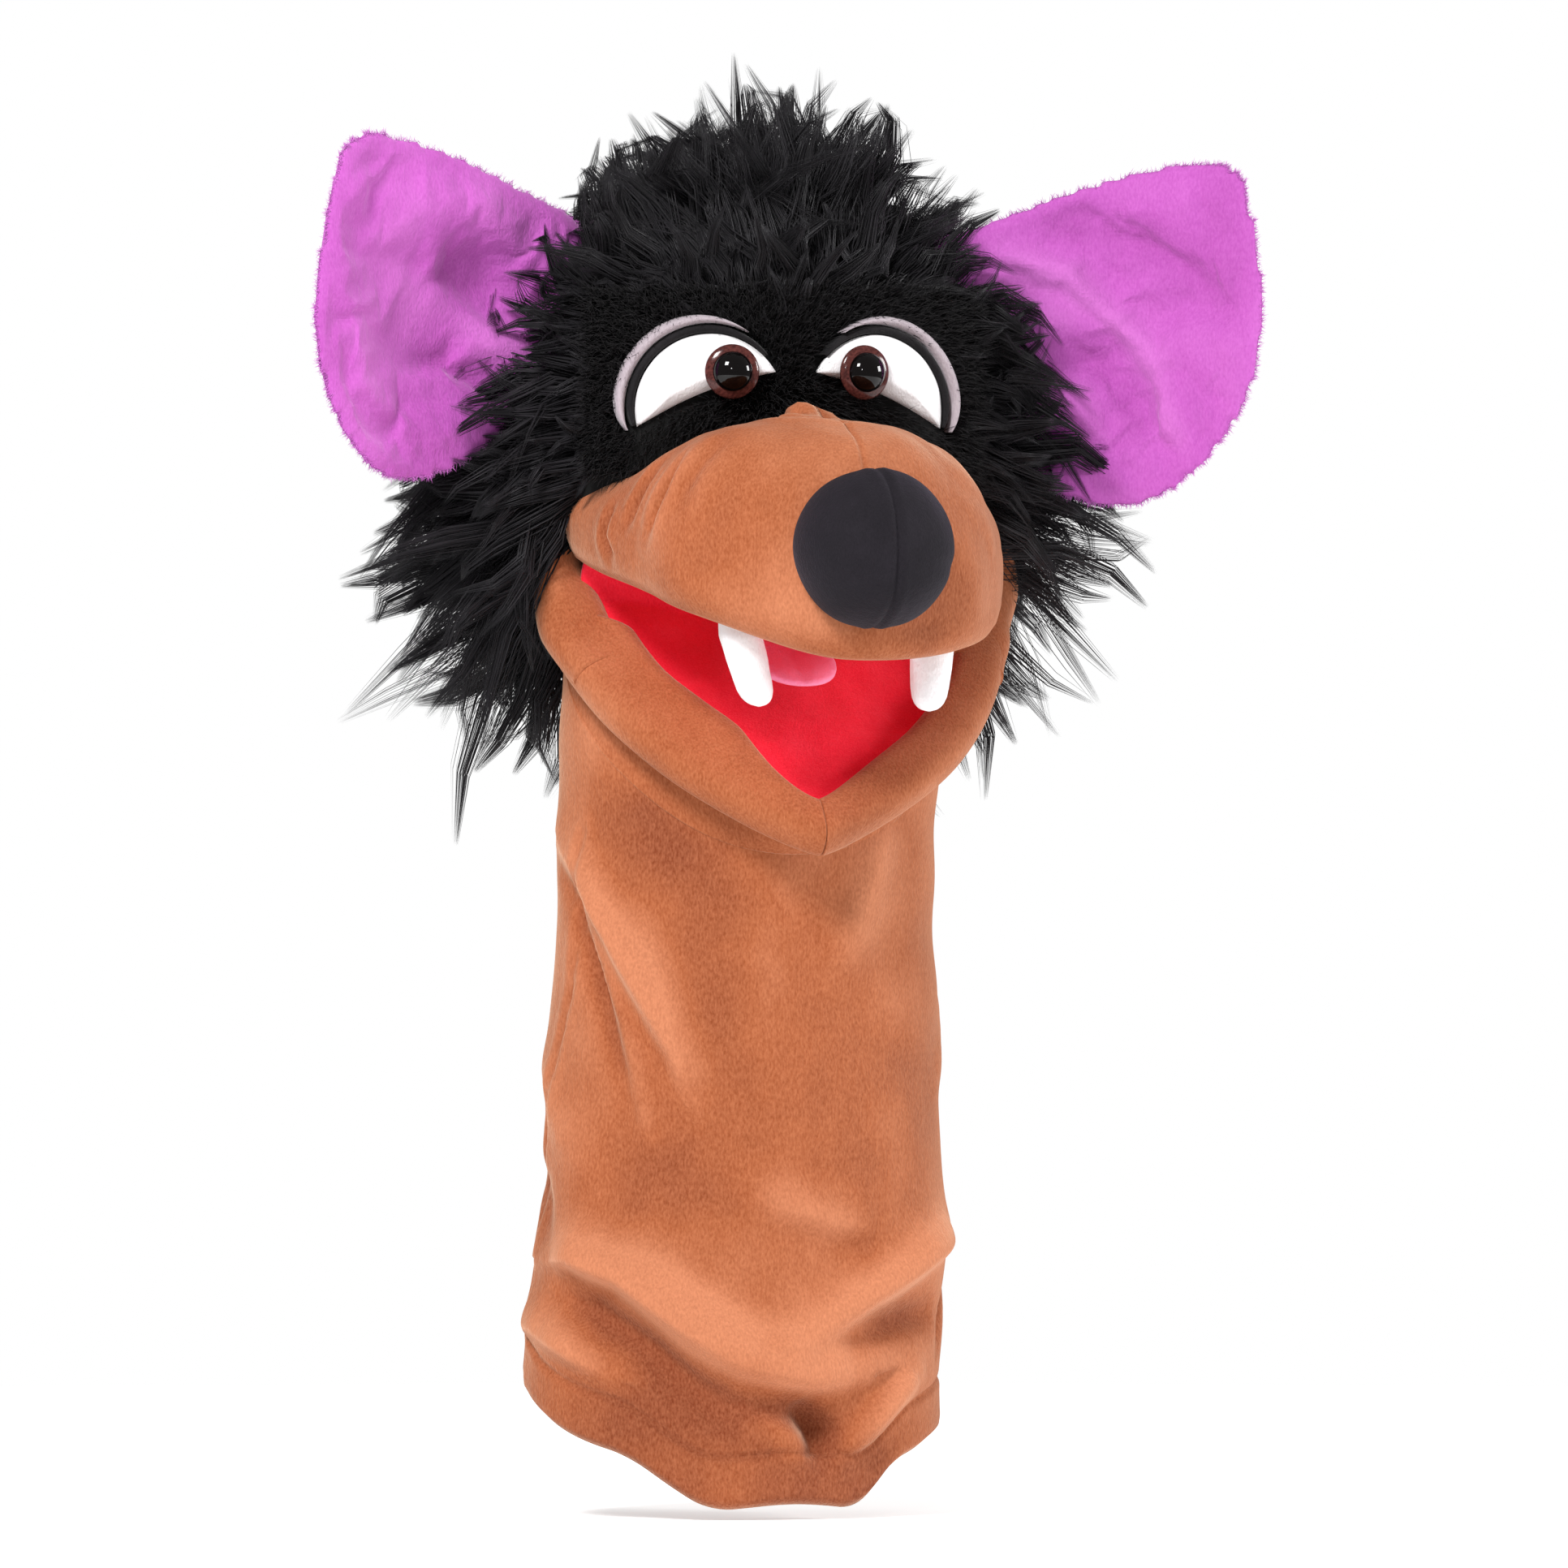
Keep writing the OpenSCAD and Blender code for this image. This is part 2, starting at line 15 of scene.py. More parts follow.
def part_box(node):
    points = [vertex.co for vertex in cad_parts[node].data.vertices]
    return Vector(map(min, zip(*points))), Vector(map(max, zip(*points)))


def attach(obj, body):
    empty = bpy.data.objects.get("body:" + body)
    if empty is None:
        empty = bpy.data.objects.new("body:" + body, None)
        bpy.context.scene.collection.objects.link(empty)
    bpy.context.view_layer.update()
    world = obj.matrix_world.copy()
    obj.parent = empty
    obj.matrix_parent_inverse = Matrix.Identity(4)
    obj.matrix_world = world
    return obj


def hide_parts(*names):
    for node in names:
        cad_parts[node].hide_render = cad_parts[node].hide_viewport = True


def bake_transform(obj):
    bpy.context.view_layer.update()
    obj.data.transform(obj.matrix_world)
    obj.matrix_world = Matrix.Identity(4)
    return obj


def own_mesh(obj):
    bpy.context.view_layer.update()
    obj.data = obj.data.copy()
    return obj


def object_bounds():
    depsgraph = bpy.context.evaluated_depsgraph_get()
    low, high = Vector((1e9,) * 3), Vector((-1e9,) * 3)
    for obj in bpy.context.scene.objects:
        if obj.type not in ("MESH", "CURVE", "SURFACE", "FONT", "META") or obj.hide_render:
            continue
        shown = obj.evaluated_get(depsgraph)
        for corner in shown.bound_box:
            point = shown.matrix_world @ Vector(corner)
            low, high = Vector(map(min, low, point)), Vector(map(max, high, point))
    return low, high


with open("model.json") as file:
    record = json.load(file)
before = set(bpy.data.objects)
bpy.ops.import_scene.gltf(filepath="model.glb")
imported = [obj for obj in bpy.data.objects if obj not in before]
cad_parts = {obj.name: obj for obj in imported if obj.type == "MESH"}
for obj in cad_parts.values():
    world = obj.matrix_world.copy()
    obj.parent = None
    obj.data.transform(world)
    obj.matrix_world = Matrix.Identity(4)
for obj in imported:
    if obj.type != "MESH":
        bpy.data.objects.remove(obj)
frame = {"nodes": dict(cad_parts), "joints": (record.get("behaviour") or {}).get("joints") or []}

MM = 0.001
CAD_BOX = [list(corner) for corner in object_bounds()]


# ---------- the frame's own measures ----------

def box(node):
    """A CAD node's lowest and highest corners, in millimetres."""
    low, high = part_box(node)
    return np.array(low) / MM, np.array(high) / MM


def joint_at(name):
    return next(np.array(j["pos_m"]) / MM for j in frame["joints"] if j["name"] == name)


FOLD = joint_at("jaw_hinge")
PALATE_SLOPE = math.radians(14)
JAW_SLOPE = math.radians(46)
TWIST_Z = box("neck_front_panel")[0][2]
NECK_Z = box("neck_front_panel")[1][2]
HEAD_LOW, HEAD_HIGH = box("head_stuffing")
HEAD_MID = np.array([0, 12, HEAD_HIGH[2] - 67])
HEAD_R = np.array([72, 66, 68])
NOSE_LOW, NOSE_HIGH = box("nose_cover")
NOSE_R = (NOSE_HIGH[0] - NOSE_LOW[0]) / 2
NOSE_MID = np.array([0, NOSE_LOW[1] + NOSE_R, (NOSE_LOW[2] + NOSE_HIGH[2]) / 2])
JAW_HALF = box("lip_right")[1][0]
JAW_LONG = 114
SNOUT_HALF = 73
SNOUT_LONG = 122
EYE_X = 21.5
EYE_Z = 351.5
EYE_PLANE = -43
EYE_TURN = math.radians(10)
EYE_R = 9
PAD_MID = np.array([28, 339])
PAD_R = 25
EAR_X = 66
EAR_SWEEP = math.radians(22)


# ---------- camera, light and floor ----------

VIEW_AZIMUTH = math.radians(-18)
VIEW_WIDTH = 519.4
VIEW_AWAY = 6000
VIEW_MID = (11.0, 216.1)
FLOOR_R = 1.3


def make_camera():
    right = Vector((math.cos(VIEW_AZIMUTH), math.sin(VIEW_AZIMUTH), 0))
    back = Vector((math.sin(VIEW_AZIMUTH), -math.cos(VIEW_AZIMUTH), 0))
    data = bpy.data.cameras.new("camera")
    data.lens = data.sensor_width * VIEW_AWAY / VIEW_WIDTH
    data.clip_end = 50
    camera = bpy.data.objects.new("camera", data)
    middle = right * VIEW_MID[0] + Vector((0, 0, VIEW_MID[1]))
    camera.location = (middle + back * VIEW_AWAY) * MM
    camera.rotation_euler = (math.pi / 2, 0, VIEW_AZIMUTH)
    bpy.context.scene.collection.objects.link(camera)
    bpy.context.scene.camera = camera


def area_light(name, place, aim, size, power):
    data = bpy.data.lights.new(name, "AREA")
    data.size = size
    data.energy = power
    light = bpy.data.objects.new(name, data)
    light.location = place
    light.rotation_euler = (Vector(aim) - Vector(place)).to_track_quat("-Z", "Y").to_euler()
    bpy.context.scene.collection.objects.link(light)


def make_studio():
    """A white room that looks brighter than it lights, so that the soft key light can model the cloth."""
    scene = bpy.context.scene
    scene.view_settings.view_transform = "Standard"
    world = bpy.data.worlds.new("studio")
    world.use_nodes = True
    tree = world.node_tree
    rays = add_node(tree, "LightPath")
    level = add_node(tree, "MapRange", To_Min=0.3, To_Max=1.0)
    tree.links.new(rays.outputs["Is Camera Ray"], level.inputs["Value"])
    set_inputs(tree.nodes["Background"], Color=(1, 1, 1, 1))
    tree.links.new(level.outputs["Result"], tree.nodes["Background"].inputs["Strength"])
    scene.world = world
    area_light("key", (-1.1, -1.2, 1.55), (0, 0, 0.22), 0.55, 50)
    area_light("side", (1.6, -0.5, 0.7), (0, 0, 0.2), 0.5, 20)
    area_light("spark", (-0.5, -1.7, 0.75), (0, 0, 0.3), 0.10, 2.0)
    mesh = bpy.data.meshes.new("floor")
    turns = np.linspace(0, 2 * math.pi, 96, endpoint=False)
    low = CAD_BOX[0][2] - 0.006
    mesh.from_pydata([(FLOOR_R * math.cos(t), FLOOR_R * math.sin(t), low) for t in turns], [], [range(96)])
    floor = bpy.data.objects.new("floor", mesh)
    scene.collection.objects.link(floor)
    material, _ = new_material("floor_white", (0.9, 0.9, 0.9), 0.9, Emission_Color=(1, 1, 1, 1), Emission_Strength=0.55)
    mesh.materials.append(material)


# ---------- materials ----------

def set_inputs(node, **values):
    """Sets a node's own sockets, whose names have spaces where these have underscores."""
    for name, value in values.items():
        node.inputs[name.replace("_", " ")].default_value = value


def add_node(tree, kind, **values):
    node = tree.nodes.new("ShaderNode" + kind)
    set_inputs(node, **values)
    return node


def new_material(name, colour, rough, **values):
    material = bpy.data.materials.new(name)
    material.use_nodes = True
    shader = material.node_tree.nodes["Principled BSDF"]
    set_inputs(shader, Base_Color=(*colour, 1), Roughness=rough, **values)
    return material, shader


def add_noise(tree, size, detail, stretch=(1, 1, 1)):
    """Noise in the object's own frame whose features are about size millimetres across."""
    place = add_node(tree, "TexCoord")
    bend = add_node(tree, "Mapping", Scale=stretch)
    texture = add_node(tree, "TexNoise", Scale=1 / (size * MM), Detail=detail)
    tree.links.new(place.outputs["Object"], bend.inputs["Vector"])
    tree.links.new(bend.outputs["Vector"], texture.inputs["Vector"])
    return texture.outputs["Fac"]


def add_ramp(tree, source, stops):
    ramp = add_node(tree, "ValToRGB")
    ends = ramp.color_ramp.elements
    for end, (position, colour) in zip((ends[0], ends[1]), (stops[0], stops[-1])):
        end.position, end.color = position, (*colour, 1)
    for position, colour in stops[1:-1]:
        ends.new(position).color = (*colour, 1)
    tree.links.new(source, ramp.inputs["Fac"])
    return ramp.outputs["Color"]


def colour_by(tree, shader, source, stops):
    tree.links.new(add_ramp(tree, source, stops), shader.inputs["Base Color"])


def add_mix(tree, kind, share, first, second):
    mix = add_node(tree, "Mix")
    mix.data_type = "RGBA"
    mix.blend_type = kind
    mix.inputs["Factor"].default_value = share
    tree.links.new(first, mix.inputs["A"])
    tree.links.new(second, mix.inputs["B"])
    return mix.outputs["Result"]


def add_bumps(tree, shader, layers):
    """Bumps from coarse to fine: each layer is a height source, a strength and a depth in millimetres."""
    normal = None
    for source, strength, depth in layers:
        bump = add_node(tree, "Bump", Strength=strength, Distance=depth * MM)
        tree.links.new(source, bump.inputs["Height"])
        if normal is not None:
            tree.links.new(normal, bump.inputs["Normal"])
        normal = bump.outputs["Normal"]
    tree.links.new(normal, shader.inputs["Normal"])


def plush(name, deep, mid, pale, sheen, tint, pile=0.7, nap_and_fold_shade=34):
    """Short pile in patches that lie one way or the other, fine fibres, painted shade in hollows and highlight on
    ridges.
    """
    material, shader = new_material(name, mid, 0.85, Sheen_Weight=sheen, Sheen_Roughness=0.42,
                                    Sheen_Tint=(*tint, 1), Specular_IOR_Level=0.15)
    tree = material.node_tree
    patches = add_noise(tree, nap_and_fold_shade, 4.0, (1, 1, 0.8))
    fibres = add_noise(tree, pile, 6.0, (1, 1, 0.45))
    clots = add_noise(tree, pile * 5, 3.0)
    # Each piece's painted fold shade, added to the random patches: darker in hollows, lighter over ridges.
    fold_shade_attribute = add_node(tree, "Attribute")
    fold_shade_attribute.attribute_name = "nap_and_fold_shade"
    lie = add_node(tree, "Math")
    tree.links.new(patches, lie.inputs[0])
    tree.links.new(fold_shade_attribute.outputs["Fac"], lie.inputs[1])
    patch_and_fold_shade_colour = add_ramp(tree, lie.outputs["Value"], [(0.1, deep), (0.5, mid), (0.95, pale)])
    fibre_colour = add_ramp(tree, fibres, [(0.3, deep), (0.72, pale)])
    mixed = add_mix(tree, "MIX", 0.35, patch_and_fold_shade_colour, fibre_colour)
    tree.links.new(mixed, shader.inputs["Base Color"])
    add_bumps(tree, shader, [(clots, 0.35, 0.8), (fibres, 0.55, 0.5)])
    return material


def make_fur_material(name, colour, rough):
    """Single dark hairs: the shape is in the strands, so the surface itself is even."""
    return new_material(name, colour, rough, Specular_IOR_Level=0.12, Sheen_Weight=0.02, Sheen_Roughness=0.5)[0]


def make_plastic(name, colour, rough, coat, shine=0.5):
    return new_material(name, colour, rough, Specular_IOR_Level=shine, Coat_Weight=coat, Coat_Roughness=0.03)[0]


def make_iris_material():
    """Moulded eye colour with fine streaks that run out from the pupil."""
    material, shader = new_material("iris_plastic", (0.12, 0.03, 0.02), 0.15, Specular_IOR_Level=0.3)
    tree = material.node_tree
    colour_by(tree, shader, add_noise(tree, 0.9, 5.0), [(0.3, (0.03, 0.007, 0.007)), (0.7, (0.11, 0.03, 0.025))])
    return material


def make_board_material():
    material, shader = new_material("mouth_board", (0.4, 0.27, 0.15), 0.8)
    tree = material.node_tree
    grain = add_noise(tree, 1.6, 6.0, (1, 0.3, 1))
    colour_by(tree, shader, grain, [(0.3, (0.3, 0.2, 0.11)), (0.7, (0.5, 0.36, 0.22))])
    add_bumps(tree, shader, [(grain, 0.3, 0.3)])
    return material


def make_weave_material():
    """Thin woven lining: two sets of threads that cross."""
    material, shader = new_material("glove_lining", (0.35, 0.35, 0.37), 0.75)
    tree = material.node_tree
    place = add_node(tree, "TexCoord")
    threads = []
    for way in ("X", "Z"):
        wave = add_node(tree, "TexWave", Scale=280, Distortion=0.6)
        wave.bands_direction = way
        tree.links.new(place.outputs["Object"], wave.inputs["Vector"])
        threads.append(wave.outputs["Color"])
    weave = add_mix(tree, "MULTIPLY", 1.0, *threads)
    colour_by(tree, shader, weave, [(0.1, (0.25, 0.25, 0.27)), (0.8, (0.45, 0.45, 0.47))])
    add_bumps(tree, shader, [(weave, 0.4, 0.2)])
    return material


# ---------- mesh tools ----------

RIPPLE_WAVES = 12


def make_object(name, points, *face_sets):
    """An object from points in millimetres and arrays of triangles or quads."""
    mesh = bpy.data.meshes.new(name)
    mesh.vertices.add(len(points))
    mesh.vertices.foreach_set("co", (np.asarray(points) * MM).astype(np.float32).ravel())
    loops = np.concatenate([f.ravel() for f in face_sets]).astype(np.int32)
    sizes = np.concatenate([np.full(len(f), f.shape[1]) for f in face_sets])
    mesh.loops.add(len(loops))
    mesh.loops.foreach_set("vertex_index", loops)
    mesh.polygons.add(len(sizes))
    starts = np.concatenate([[0], np.cumsum(sizes)[:-1]]).astype(np.int32)
    mesh.polygons.foreach_set("loop_start", starts)
    mesh.polygons.foreach_set("use_smooth", np.ones(len(sizes), bool))
    mesh.update(calc_edges=True)
    piece = bpy.data.objects.new(name, mesh)
    bpy.context.scene.collection.objects.link(piece)
    return piece


def paint_fold_shade(piece, lie):
    """Stores painted fold shade on the points, from -0.5, painted darker in a hollow, to 0.5, painted lighter over a
    ridge.
    """
    layer = piece.data.attributes.new("nap_and_fold_shade", "FLOAT", "POINT")
    layer.data.foreach_set("value", np.clip(lie, -0.5, 0.5).astype(np.float32).ravel())


def merge_close(piece, within=0.02):
    """Joins vertices that meet, and turns every face outwards."""
    work = bmesh.new()
    work.from_mesh(piece.data)
    bmesh.ops.remove_doubles(work, verts=work.verts, dist=within * MM)
    bmesh.ops.recalc_face_normals(work, faces=work.faces)
    work.to_mesh(piece.data)
    work.free()
    piece.data.polygons.foreach_set("use_smooth", np.ones(len(piece.data.polygons), bool))
    piece.data.update()
    return piece


def grid_faces(rows, cols, closed=False, first=0):
    """Quads of a grid of points; closed joins its last column to its first."""
    i, j = np.meshgrid(np.arange(rows - 1), np.arange(cols if closed else cols - 1), indexing="ij")
    k = (j + 1) % cols
    quads = np.stack([i * cols + j, i * cols + k, (i + 1) * cols + k, (i + 1) * cols + j], -1)
    return quads.reshape(-1, 4) + first


def normals_of(grid):
    """Unit normals of a grid of points, shaped rows by columns by 3."""
    return unit(np.cross(np.gradient(grid, axis=1), np.gradient(grid, axis=0)))


def smooth01(t):
    t = np.clip(t, 0, 1)
    return t * t * (3 - 2 * t)


def power(v, p):
    return np.sign(v) * np.abs(v) ** p


def unit(v):
    return v / np.maximum(np.linalg.norm(v, axis=-1, keepdims=True), 1e-9)


def bell(distance, width):
    return np.exp(-(distance / width) ** 2)


def full_turn(count):
    """Angles all the way round, in radians."""
    return np.radians(np.linspace(0, 360, count, endpoint=False))


def points_of(piece):
    return np.array([v.co[:] for v in piece.data.vertices]) / MM


def nearest(points, places):
    """For each place: the nearest of the points, its number and its distance."""
    tree = KDTree(len(points))
    for k, p in enumerate(points):
        tree.insert(p, k)
    tree.balance()
    return (np.array(part) for part in zip(*(tree.find(p) for p in places)))


def ripple(points, size, seed):
    """Smooth random relief between about -1 and 1, with bumps about size millimetres across."""
    draw = np.random.default_rng(seed)
    ways = unit(draw.normal(size=(RIPPLE_WAVES, 3))) * math.pi / size
    ways *= draw.uniform(0.6, 1.4, (RIPPLE_WAVES, 1))
    shape = np.sin(np.asarray(points) @ ways.T + draw.uniform(0, 2 * math.pi, RIPPLE_WAVES)).sum(-1)
    return shape / math.sqrt(RIPPLE_WAVES)


def along(points, path):
    """Distance of each point from a path, its share of the way along it, and its side of it in 2-D."""
    path = np.asarray(path, float)
    spans = np.diff(path, axis=0)
    lengths = np.linalg.norm(spans, axis=1)
    before = np.concatenate([[0], np.cumsum(lengths)])
    best = np.full(points.shape[:-1], np.inf)
    share = np.zeros_like(best)
    side = np.ones_like(best)
    for k, span in enumerate(spans):
        rel = points - path[k]
        t = np.clip(rel @ span / lengths[k] ** 2, 0, 1)
        away = rel - t[..., None] * span
        distance = np.linalg.norm(away, axis=-1)
        closer = distance < best
        best = np.where(closer, distance, best)
        share = np.where(closer, (before[k] + t * lengths[k]) / before[-1], share)
        if path.shape[1] == 2:
            turned = span[0] * rel[..., 1] - span[1] * rel[..., 0]
            side = np.where(closer, np.sign(turned), side)
    return best, share, side


def crease(points, path, width, depth):
    """A groove along a path with soft shoulders, shallower towards its ends."""
    distance, share, _ = along(points, path)
    fade = np.sin(math.pi * np.clip(share, 0.02, 0.98)) ** 0.6
    return depth * fade * (0.4 * bell(distance - 2.3 * width, 1.3 * width) - bell(distance, width))


def ridge(points, path, height, left, right):
    """A soft ridge along a path in 2-D, with its own width on the left and on the right of the path."""
    distance, share, side = along(points, path)
    ends = np.sin(math.pi * np.clip(share, 0.03, 0.97)) ** 0.5
    return height * ends * bell(distance, np.where(side > 0, left, right))


def end_caps(shape):
    """Two flat ends for a closed strip of rings, as strips of quads across each ring."""
    rows, cols = shape[:2]
    k = np.arange(cols // 2 - 1)
    first = np.stack([k, cols - 1 - k, cols - 2 - k, k + 1], -1)
    last = first[:, ::-1] + (rows - 1) * cols
    return first, last


def closed_form(name, grid, within=0.02, caps=2, lie=None):
    """A padded form from rings of points, with flat ends, whose meeting vertices are joined."""
    piece = make_object(name, grid.reshape(-1, 3), grid_faces(*grid.shape[:2], True),
                        *end_caps(grid.shape)[:caps])
    # lie, when given, is painted fold shade: darker in hollows, lighter over ridges.
    if lie is not None:
        paint_fold_shade(piece, lie)
    return merge_close(piece, within)


def sheet_between(name, outer, inner):
    """A closed sheet from an outer and an inner grid."""
    rows, cols = outer.shape[:2]
    n = rows * cols
    points = np.concatenate([outer.reshape(-1, 3), inner.reshape(-1, 3)])
    faces = grid_faces(rows, cols)
    back = grid_faces(rows, cols, first=n)[:, ::-1]
    ring = np.concatenate([np.arange(cols), np.arange(1, rows) * cols + cols - 1,
                           (rows - 1) * cols + np.arange(cols - 2, -1, -1), np.arange(rows - 2, 0, -1) * cols])
    after = np.roll(ring, -1)
    wall = np.stack([ring, ring + n, after + n, after], -1)
    return merge_close(make_object(name, points, faces, back, wall))


def finish_piece(piece, material, body, *nodes, fill=None, slot=None):
    """Gives a piece its material, its body if it has one, and hides the CAD nodes that it stands for."""
    piece.data.materials.append(material)
    if nodes:
        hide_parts(*nodes)
    if body:
        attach(piece, body)
    return piece


def fold_point(slope, x, ahead, up, root=FOLD):
    """A point given from the jaw fold: sideways, ahead along a sloping plane, and up from that plane."""
    x, ahead, up = np.broadcast_arrays(x, ahead, up)
    return np.stack([x, root[1] - ahead * math.cos(slope) - up * math.sin(slope),
                     root[2] - ahead * math.sin(slope) + up * math.cos(slope)], -1)


# ---------- sleeve ----------

SLEEVE_WIDE = [(-30, 70), (30, 71), (60, 68.5), (110, 66.5), (145, 63.5), (200, 62), (270, 62)]
SLEEVE_DEEP = [(-30, 56), (110, 54), (170, 52), (270, 55)]
SLEEVE_SHIFT = [(-20, -8), (15, -8), (45, -4.5), (110, -3), (200, -2), (270, 0)]
HEM_LINE = [(-180, 18), (-130, 20), (-105, 23), (-88, 15), (-74, 8), (-60, 2.5), (-43, -2.5), (-27, -15),
            (-19, -20.5), (3, -18), (17, -19), (26, -20.5), (38, -5), (60, 2), (100, 10), (140, 14), (180, 18)]
HEM_H = 15
SPLIT_Z = (TWIST_Z + NECK_Z) / 2
THROAT_DROP = -27
NAPE_Z = 262
CLOTH = 3
# How much the colour is painted lighter or darker per millimetre of fold height: painted highlight on ridges, painted
# shade in hollows.
FOLD_SHADE_PER_MM = 0.1
MM_PER_DEGREE = 1.05
FOLD_GAIN = 1.9
# Each fold on the sleeve: its path as (angle round the sleeve from the front, height), its height and its widths
SLEEVE_FOLDS = [
    ([(-93, 198), (-74, 186), (-58, 166), (-45, 145), (-35, 128), (-30, 112)], 3.6, 9, 3.4),
    ([(-99, 192), (-79, 178), (-69, 158), (-58, 138), (-47, 112)], -3.2, 3.0, 4.5),
    ([(-62, 150), (-52, 128), (-42, 100)], 1.8, 4, 3.2),
    ([(32, 206), (27, 188), (20, 168), (15, 152)], 2.0, 9, 7),
    ([(-12, 84), (0, 77), (14, 72), (28, 70)], 2.0, 9, 5.5),
    ([(-92, 60), (-66, 60), (-48, 54), (-28, 38), (-11, 25), (6, 20), (24, 22)], 5.2, 12, 4.2),
    ([(-74, 47), (-58, 44), (-36, 30), (-15, 12), (8, 7)], -3.4, 4.5, 8),
    ([(72, 68), (48, 61), (25, 48), (4, 33)], 4.2, 5.0, 9),
    ([(60, 42), (40, 40), (22, 35)], -2.4, 5, 6),
    ([(-108, 40), (-84, 37), (-66, 31), (-48, 22)], 3.6, 9, 4.5),
    ([(46, 22), (33, 12), (17, -5)], 3.4, 5, 5),
    ([(-14, 12), (0, 3), (9, -6)], 2.4, 5, 5),
    ([(4, 14), (11, 4), (12, -6)], -5.0, 4.5, 4.5),
    ([(-110, 128), (-92, 118), (-76, 96)], 2.4, 9, 6),
    ([(-110, 92), (-94, 84), (-80, 62)], -2.0, 5, 6),
    ([(86, 60), (74, 46), (66, 30)], -2.2, 3, 5),
    ([(95, 150), (80, 130), (66, 118)], 1.6, 8, 6),
    ([(120, 80), (140, 60), (165, 52), (190, 60), (215, 74)], 3.4, 10, 5),
    ([(105, 30), (135, 34), (165, 24), (200, 28)], -2.6, 6, 6),
    ([(125, 190), (150, 160), (175, 150), (205, 165), (235, 185)], 2.6, 11, 7),
]
SIDE_SEAM = [(-76, 200), (-76, 183), (-78, 151), (-88, 120), (-97, 84), (-100, 40), (-96, 0)]
OTHER_SEAM = [(92, 200), (91, 150), (95, 90), (92, 30), (90, -10)]


def curve_at(x, table):
    return np.interp(x, *zip(*table))


def smooth_at(x, table, spread):
    """A table's line, rounded by averaging round each place."""
    return np.mean([curve_at(x + spread * k, table) for k in (-1, -0.66, -0.33, 0, 0.33, 0.66, 1)], axis=0)


def hem_z(turn):
    return smooth_at((turn + 180) % 360 - 180, HEM_LINE, 6)


def sleeve_skin(turn, z):
    """The sleeve's outer cloth at an angle from the front and a height: its points, its normals and the heights that
    set its painted shade.
    """
    a = smooth_at(z, SLEEVE_WIDE, 18)
    b = smooth_at(z, SLEEVE_DEEP, 18)
    angle = np.radians(turn)
    base = np.stack([a * np.sin(angle) + smooth_at(z, SLEEVE_SHIFT, 18), -b * np.cos(angle), z], -1)
    out = unit(np.stack([np.sin(angle) / a, -np.cos(angle) / b, np.zeros_like(z)], -1))
    flat = np.stack([turn * MM_PER_DEGREE, z], -1)
    push = np.zeros_like(z)
    for path, height, left, right in SLEEVE_FOLDS:
        for lap in (-360, 0):
            laid = [((deg + lap) * MM_PER_DEGREE, h) for deg, h in path]
            push += FOLD_GAIN * ridge(flat, laid, height, left, right)
    push *= 1 - 0.45 * smooth01((28 - np.abs(np.abs(turn) - 92)) / 16)
    push += 1.5 * ripple(base, 46, 3) + 0.4 * ripple(base, 17, 4)
    for seam in (SIDE_SEAM, OTHER_SEAM):
        distance, _, _ = along(flat, [(deg * MM_PER_DEGREE, h) for deg, h in seam])
        puckers = 0.75 + 0.25 * np.sin(z / 1.9)
        push -= 1.5 * puckers * bell(distance, 1.3) - 0.5 * bell(distance - 4, 2.4)
    above = z - hem_z(turn)
    push -= (1.0 + 0.3 * np.sin(turn * 1.7)) * bell(above - HEM_H, 1.1)
    push += 0.5 * smooth01((HEM_H - above) / 3) * smooth01((above + 1) / 4)
    # The third value paints the colour lighter on ridges and darker in hollows and seams, and darker towards the
    # bottom.
    return base + out * push[..., None], out, push - 2.6 * smooth01((30 - z) / 26)


def tube(name, turns, levels, z_of, thick_of):
    """A sleeve stretch with an outer and an inner surface, joined with a round fold at both edges."""
    turn, level = np.meshgrid(turns, levels)
    z = z_of(turn, level)
    outer, out, push = sleeve_skin(turn, z)
    thick = thick_of(turn, z)[..., None]
    inner = outer - out * thick
    up = np.array([0, 0, 1])
    low = (outer[:1] + inner[:1]) / 2 - up * thick[:1] * 0.42
    high = (outer[-1:] + inner[-1:]) / 2 + up * 0.4
    ring = np.concatenate([outer, high, inner[::-1], low], 0)
    rows, cols = ring.shape[:2]
    k = np.arange(cols)
    after = (k + 1) % cols
    last = np.stack([k + (rows - 1) * cols, after + (rows - 1) * cols, after, k], -1)
    piece = make_object(name, ring.reshape(-1, 3), grid_faces(rows, cols, True), last)
    # Paints the fold shade into the colour on every face of the band: lighter on ridges, darker in hollows.
    paint_fold_shade(piece, np.concatenate([push, push[-1:], push[::-1], push[:1]], 0) * FOLD_SHADE_PER_MM)
    return merge_close(piece)


def hem_thick(turn, z):
    above = z - hem_z(turn)
    return CLOTH + 2.2 * smooth01((HEM_H - above) / 2.5)


def throat_edge(turn):
    """The sleeve's upper edge: in front it runs under the jaw, parallel to it, and behind under the fur."""
    y = -54 * np.cos(np.radians(turn))
    under_jaw = FOLD[2] + (THROAT_DROP + (y - FOLD[1]) * math.sin(JAW_SLOPE)) / math.cos(JAW_SLOPE)
    return np.minimum(under_jaw, NAPE_Z)


